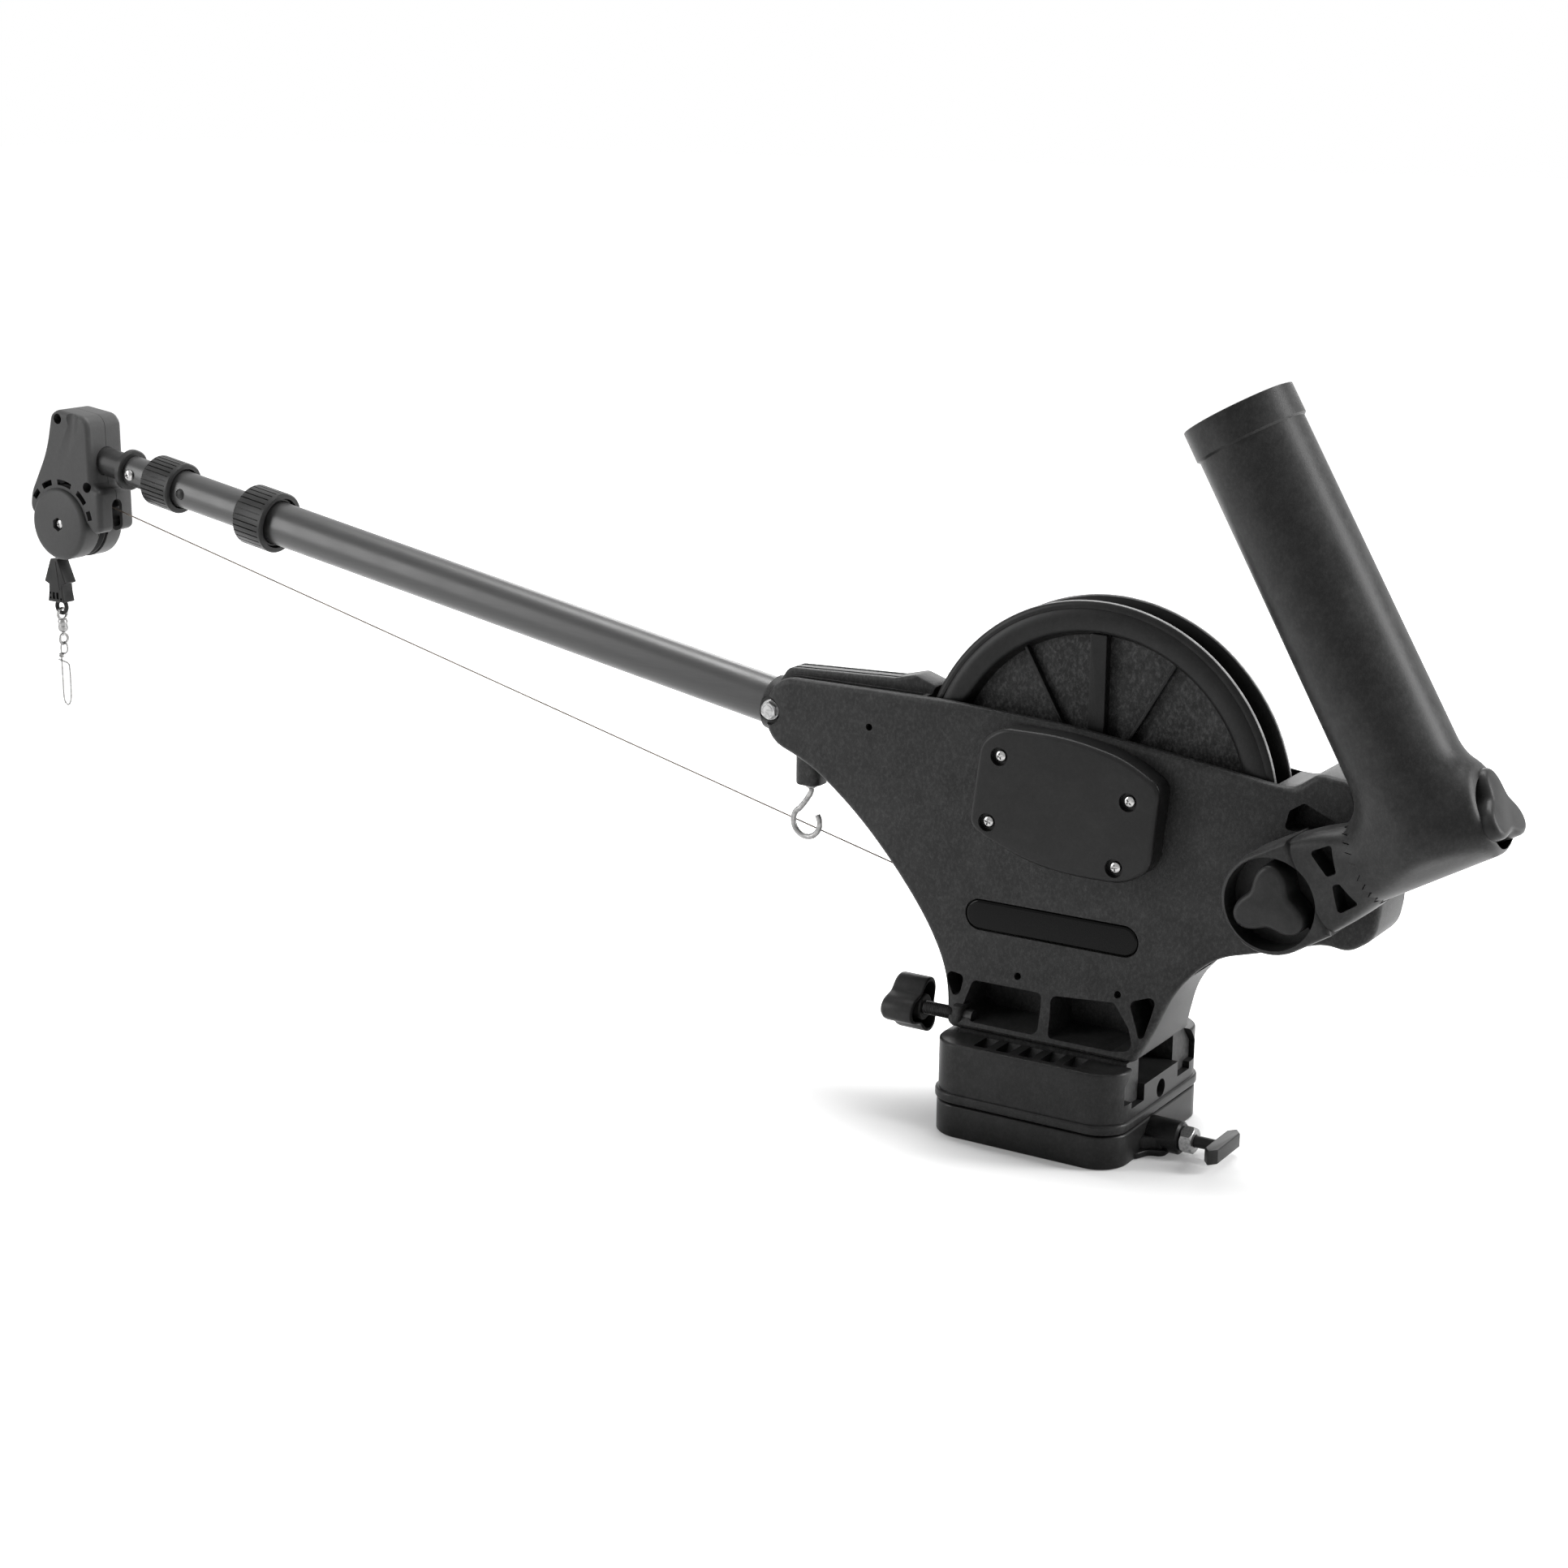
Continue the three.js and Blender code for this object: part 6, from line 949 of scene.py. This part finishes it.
# Pulley wheel in the head, and the cross-headed pin that it turns on
wheel = turned([(3.3, -3.4), (22.4, -3.4), (23.6, -3.3), (24, -2.9), (23.8, -2.4), (20.6, -1), (20.2, -0.5),
                (20.2, 0.5), (20.6, 1), (23.8, 2.4), (24, 2.9), (23.6, 3.3), (22.4, 3.4), (3.3, 3.4)], "y",
               axle, 128)
# The wheel takes the black nylon as painted shade: dark for the shade in the gap between the head's shells.
fit("pulley_wheel", wheel, "pulley", ["pulley"], knob_black)
pin = together(cross_head("y", -16.1, -1, axle, 3.4, 1.8, 1.35, -13.6, 0.2),
               rod("y", -13.7, 14.1, axle, 3, 32))
fit("pulley_pin", pin, "head", ["pulley_axle"], polished)

# Cable run from the reel's underside to the pulley, in three lengths, each listed with the two
# bodies that it lies between.
def run_at(x):
    slope, height_at_zero = -0.2451, 106.67
    return (x, 0.0, height_at_zero + slope * x)


def strand(name, route):
    return in_scene(name, wire(route, cable_radius, 12, 1), cable_look)


cable_bend = 20.975
over_pulley = [placed("y", *polar(cable_bend, radians(t), axle), 0.0) for t in range(80, 181, 4)]
for name, start, end, a, b, more, nodes in (
        ("cable_from_reel", -6.5, -600, "frame", "middle_boom", [], ["cable_run"]),
        ("cable_middle", -600, -700, "middle_boom", "inner_boom", [], []),
        ("cable_at_head", -700, -771.5, "inner_boom", "head", over_pulley, [])):
    line = strand(name, [run_at(start + (end - start) * i / 40) for i in range(41)] + more)
    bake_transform(line)
    if nodes:
        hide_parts(*nodes)

# Cable drop from the pulley into the sleeve, and the sleeve with its barbs and ring
def hoop(axis, at, along, radius, thick, steps=64):
    """A wire ring round an axis."""
    section = [polar(thick, tau * i / 16, (radius, along)) for i in range(16)]
    return turned(section, axis, at, steps)


drop_x = -797.475
line = strand("cable_to_sleeve", [(drop_x, 0, 276 - 0.95 * i) for i in range(43)])
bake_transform(line)
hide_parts("cable_drop")
sleeve_black = moulded("soft sleeve", "dark_plastic", grey(0.014), grey(0.03), streaks=0.1, clouds=0.3,
                       roughness=0.3, grain=0.2)
barbs = [(-3.4, 247.7), (3.4, 247.7), (10.4, 231.2), (6.2, 229.4), (6.6, 224), (7.9, 217), (-7.9, 217),
         (-6.6, 224), (-6.2, 229.4), (-10.4, 231.2)]
sleeve = slab(rounded([(drop_x + x, z) for x, z in barbs], 0.7, 3), -5.2, 5.2, "y", 1.1, 3)
marks = [slab(rounded([(drop_x + x + dx, z + dz) for dx, dz in rectangle(-w, w, -h, h)], 0.4, 3), -7, -4.2,
              "y") for x, z, w,
         h in ((-5.2, 223.2, 0.8, 0.8), (-5.2, 219.8, 0.8, 0.8), (-1.6, 221.5, 1.3, 2.4), (2, 221.5, 1.3,
                                                                                           2.4), (5.2, 219.4,
                                                                                                  0.8, 0.8))]
seam = slab([(drop_x + x, z) for x, z in ((1.4, 246), (1.8, 246), (4.4, 226), (4, 226))], -7, -4.8, "y")
sleeve = carved(sleeve, *marks, seam, rod("z", 235.7, 250, (drop_x, 0), 1.1, 24))
fit("cable_sleeve", together(sleeve, hoop("y", (drop_x, 213.1), 0, 4.6, 1.5)), "cable_end", ["terminator"],
    sleeve_black)

# Barrel swivel: a turned barrel with a wire ring at each end, so the snap can spin
barrel = turned([(0, 194.9), (1.9, 195), (3.1, 196), (3.5, 197.6), (3.5, 199), (3.2, 199.4), (3.2, 201.4),
                 (3.5, 201.8), (3.5, 202.8), (2.9, 204), (1.4, 204.4), (0, 204.4)], "z", (drop_x, 0), 48)
fit("swivel_barrel", together(barrel, hoop("x", (0, 207.8), drop_x, 4, 1.0)), "cable_end", ["barrel_swivel"],
    wire_steel)
stem = rod("z", 192.4, 194.8, (drop_x, 0), 1.2, 24)
fit("swivel_ring", together(stem, hoop("x", (0, 189.8), drop_x, 3.6, 1.0)), "snap", ["swivel_eye"],
    wire_steel)

# Snap: one piece of spring wire, bent to a long loop that springs open
clip = [(-5, -0.9, 174.6), (-3.4, -1.4, 174.2), (-1, -0.7, 173.6), (3, 0, 172.2), (4.1, 0, 168.5),
        (4.2, 0, 157), (3.7, 0, 147.6), (2, 0, 143.2), (-0.2, 0, 142.1), (-2.3, 0, 143.6), (-3.4, 0, 148.5),
        (-3.4, 0, 162), (-3.4, 0, 179), (-3.3, 0, 184), (-1.6, 0, 187.2), (0.8, 0, 187.6), (2.9, 0, 185.2),
        (2.8, 0, 181.6), (0.4, 0.4, 179.4), (-2, 1.2, 178.9)]
clip += [(-3.4 - 1.25 * sin(a * pi / 3), 1.25 * cos(a * pi / 3), 178.7 - 0.2 * a) for a in range(13)]
clip = wire([(drop_x + x, y, z) for x, y, z in clip], 0.62, 16, 8)
fit("snap_wire", clip, "snap", ["snap"], wire_steel)

# Rod holder arm: a moulded arm on a toothed hub, with a pocket for the knob, arc slots and windows,
# and a toothed face on which the rod tube locks.
barrel_y, cup_x = -41.6, 94.5
holder_grey = moulded("holder nylon", "frame_plastic", grey(0.02), grey(0.07), streaks=0.25, clouds=0.4,
                      roughness=0.36, grain=0.35)


def on_holder(bm):
    """Lays a piece made with X along the arm and Z up the tube onto the tilted pivot."""
    return laid(bm, holder_pivot, -30)


def loft(rings):
    """A closed skin over rings that have as many points each."""
    bm = bmesh.new()
    rows = [[bm.verts.new(p) for p in ring] for ring in rings]
    for low, high in zip(rows, rows[1:]):
        for i in range(len(low)):
            bm.faces.new((low[i - 1], low[i], high[i], high[i - 1]))
    bm.faces.new(rows[0])
    bm.faces.new(rows[-1])
    bmesh.ops.recalc_face_normals(bm, faces=bm.faces)
    return bm


def crown(face, low, depth=6, radius=34, teeth=24):
    """Everything from a low plane up to a face of radial teeth."""
    rim = [(face + depth * (0.5 if i % 2 else -0.5), *polar(radius, i * pi / teeth, (barrel_y, 0)))
           for i in range(2 * teeth)]
    bm = bmesh.new()
    top = [bm.verts.new(p) for p in rim]
    foot = [bm.verts.new((low, p[1], p[2])) for p in rim]
    tip, root = bm.verts.new((face, barrel_y, 0)), bm.verts.new((low, barrel_y, 0))
    for i in range(len(top)):
        bm.faces.new((top[i - 1], top[i], tip))
        bm.faces.new((foot[i - 1], foot[i], root))
        bm.faces.new((top[i - 1], top[i], foot[i], foot[i - 1]))
    bmesh.ops.recalc_face_normals(bm, faces=bm.faces)
    return bm


hub_ring = [polar(28, radians(a)) for a in range(90, 271, 6)]
arm = slab(hub_ring + [(24, -27.2), (24, 27.2)], -57, -24.6, "y", 3.2, 4, 2.0)
stages = []
for i in range(13):
    t = i / 12
    power = 8 * (1 - t) ** 1.6 + 2 * (1 - (1 - t) ** 1.6)
    x = 14 + (58 - 14) * t
    mix = [a + (b - a) * t * t for a, b in ((15.4, 21), (26.8, 21), (-40.8, barrel_y))]
    ring = []
    for k in range(72):
        c, s = cos(tau * k / 72), sin(tau * k / 72)
        ring.append((x, mix[2] + mix[0] * copysign(abs(c) ** (2 / power), c),
                     mix[1] * copysign(abs(s) ** (2 / power), s)))
    stages.append(ring)
arm = carved(joined(arm, loft(stages)), crown(54.2, -60), how="INTERSECT")
hub_points = 56
notched = [polar(25 if i % 4 in (0, 1) else 23, tau * i / hub_points) for i in range(hub_points)]
arm = joined(arm, slab(notched, -26, -20.4, "y"))
tools = [rod("y", -70, -42, (0, 0), 25.2, 96), rod("y", -60, 0, (0, 0), 4.3, 32),
         rod("x", 42, 60, (barrel_y, 0), 4.3, 32)]
for start in (-70, 20):
    ring = arc_slot((0, 0), 19.3, 23.7, start, start + 50, 12)
    tools.append(slab(rounded(ring, 1.4, 3), -45, -34.5, "y"))
for ring in ([(33.5, 17.4), (46.5, 16.4), (43, 1.8), (37, 2)],
             [(37.6, -2.8), (42, -3.4), (46.2, -17.2), (33.2, -18)]):
    tools.append(slab(rounded(ring, 1.8, 4), -90, -44, "y"))
arm = on_holder(carved(arm, *tools))
fit("holder_arm", arm, "rod_arm", ["rod_arm"], holder_grey, soften=0.35)
bolt = together(hex_nut("y", 20.3, 24.3, (0, 0), 13, 0), rod("y", -52.2, 20.6, (0, 0), 4, 32))
fit("holder_bolt", on_holder(bolt), "frame", ["arm_bolt"], zinc)

# Rod tube: a long cup that swells smoothly into a barrel across its foot, with a round mouth in
# the barrel's end for the rear knob.
def soft_max(a, b, fillet):
    return max(a, b) + max(0.0, fillet - abs(a - b)) ** 2 / (4 * fillet)


def swell(x, y, z):
    """Signed distance to the tube and its barrel with a soft fillet, from the tube's own axis."""
    taper = 29.7 - 1.1 * max(0.0, min(1.0, z / 238)) + 1.3 * max(0.0, min(1.0, (z - 220.6) / 0.8))
    cup = soft_max(hypot(x, y) - taper, -6 - z, 9)
    barrel = soft_max(hypot(y, z) - 21, x - 29.7, 5)
    return -soft_max(-cup, -barrel, 22)


levels = [-20.95 * cos(radians(a)) for a in (2, 8, 14, 20, 27, 34, 41, 48, 55, 62, 69, 76, 83, 90)]
levels += [2 * i for i in range(1, 36)] + [75 + 8 * i for i in range(19)]
levels += [220.4, 221.6, 224, 230, 236.6, 237.7]
rings = []
for z in levels:
    ring = []
    for k in range(144):
        c, s = cos(tau * k / 144), sin(tau * k / 144)
        near, far = 0.0, 75.0
        for _ in range(22):
            half = (near + far) / 2
            near, far = (half, far) if swell(half * c, half * s, z) < 0 else (near, half)
        ring.append((cup_x + near * c, barrel_y + near * s, z))
    rings.append(ring)
rings.append([(cup_x + (p[0] - cup_x) * 0.985, barrel_y + (p[1] - barrel_y) * 0.985, 238) for p in rings[-1]])
cup = carved(loft(rings), crown(54.9, -30))
cup = carved(cup, rod("z", 30, 260, (cup_x, barrel_y), 25.4, 96),
             rod("z", 235.5, 260, (cup_x, barrel_y), 26.6, 96), rod("x", 88, 140, (barrel_y, 0), 19.4, 96),
             rod("x", 0, 120, (barrel_y, 0), 4.3, 32))
for i in range(6):
    rib = swung(block((88.5, -0.7, 14.3), (106, 0.7, 19.9)), tau * (i + 0.5) / 6, "X")
    bmesh.ops.translate(rib, vec=(0, barrel_y, 0), verts=rib.verts)
    cup = together(cup, rib)
behind = block((229.5, -150, -100), (500, 80, 600))
cup = carved(on_holder(cup), behind)
fit("holder_tube", cup, "rod_tube", ["rod_tube"], holder_grey, sharp=28)

# The rod holder's two lobed knobs: one clamps the hub, the other draws the tube onto its teeth.
near_knob = lobed_knob(21.6, 17, 3, 10.5, (0, -42.6, 0), (0, -1, 0), 1.05, waist=0.42, stud=(4.3, -3, 12))
fit("holder_near_knob", on_holder(near_knob), "arm_knob", ["arm_knob"], knob_black, soften=0.3)
rear_knob = lobed_knob(22, 17, 3, 11, (116.5, barrel_y, 0), (1, 0, 0), 0.9, waist=0.42)
rear_neck = joined(rod("x", 88.3, 120, (barrel_y, 0), 13.5, 64, 1.0),
                   rod("x", 46.6, 90, (barrel_y, 0), 4, 32))
rear_knob = on_holder(joined(rear_knob, rear_neck))
fit("holder_rear_knob", rear_knob, "tube_knob", ["tube_knob"], knob_black, soften=0.3)
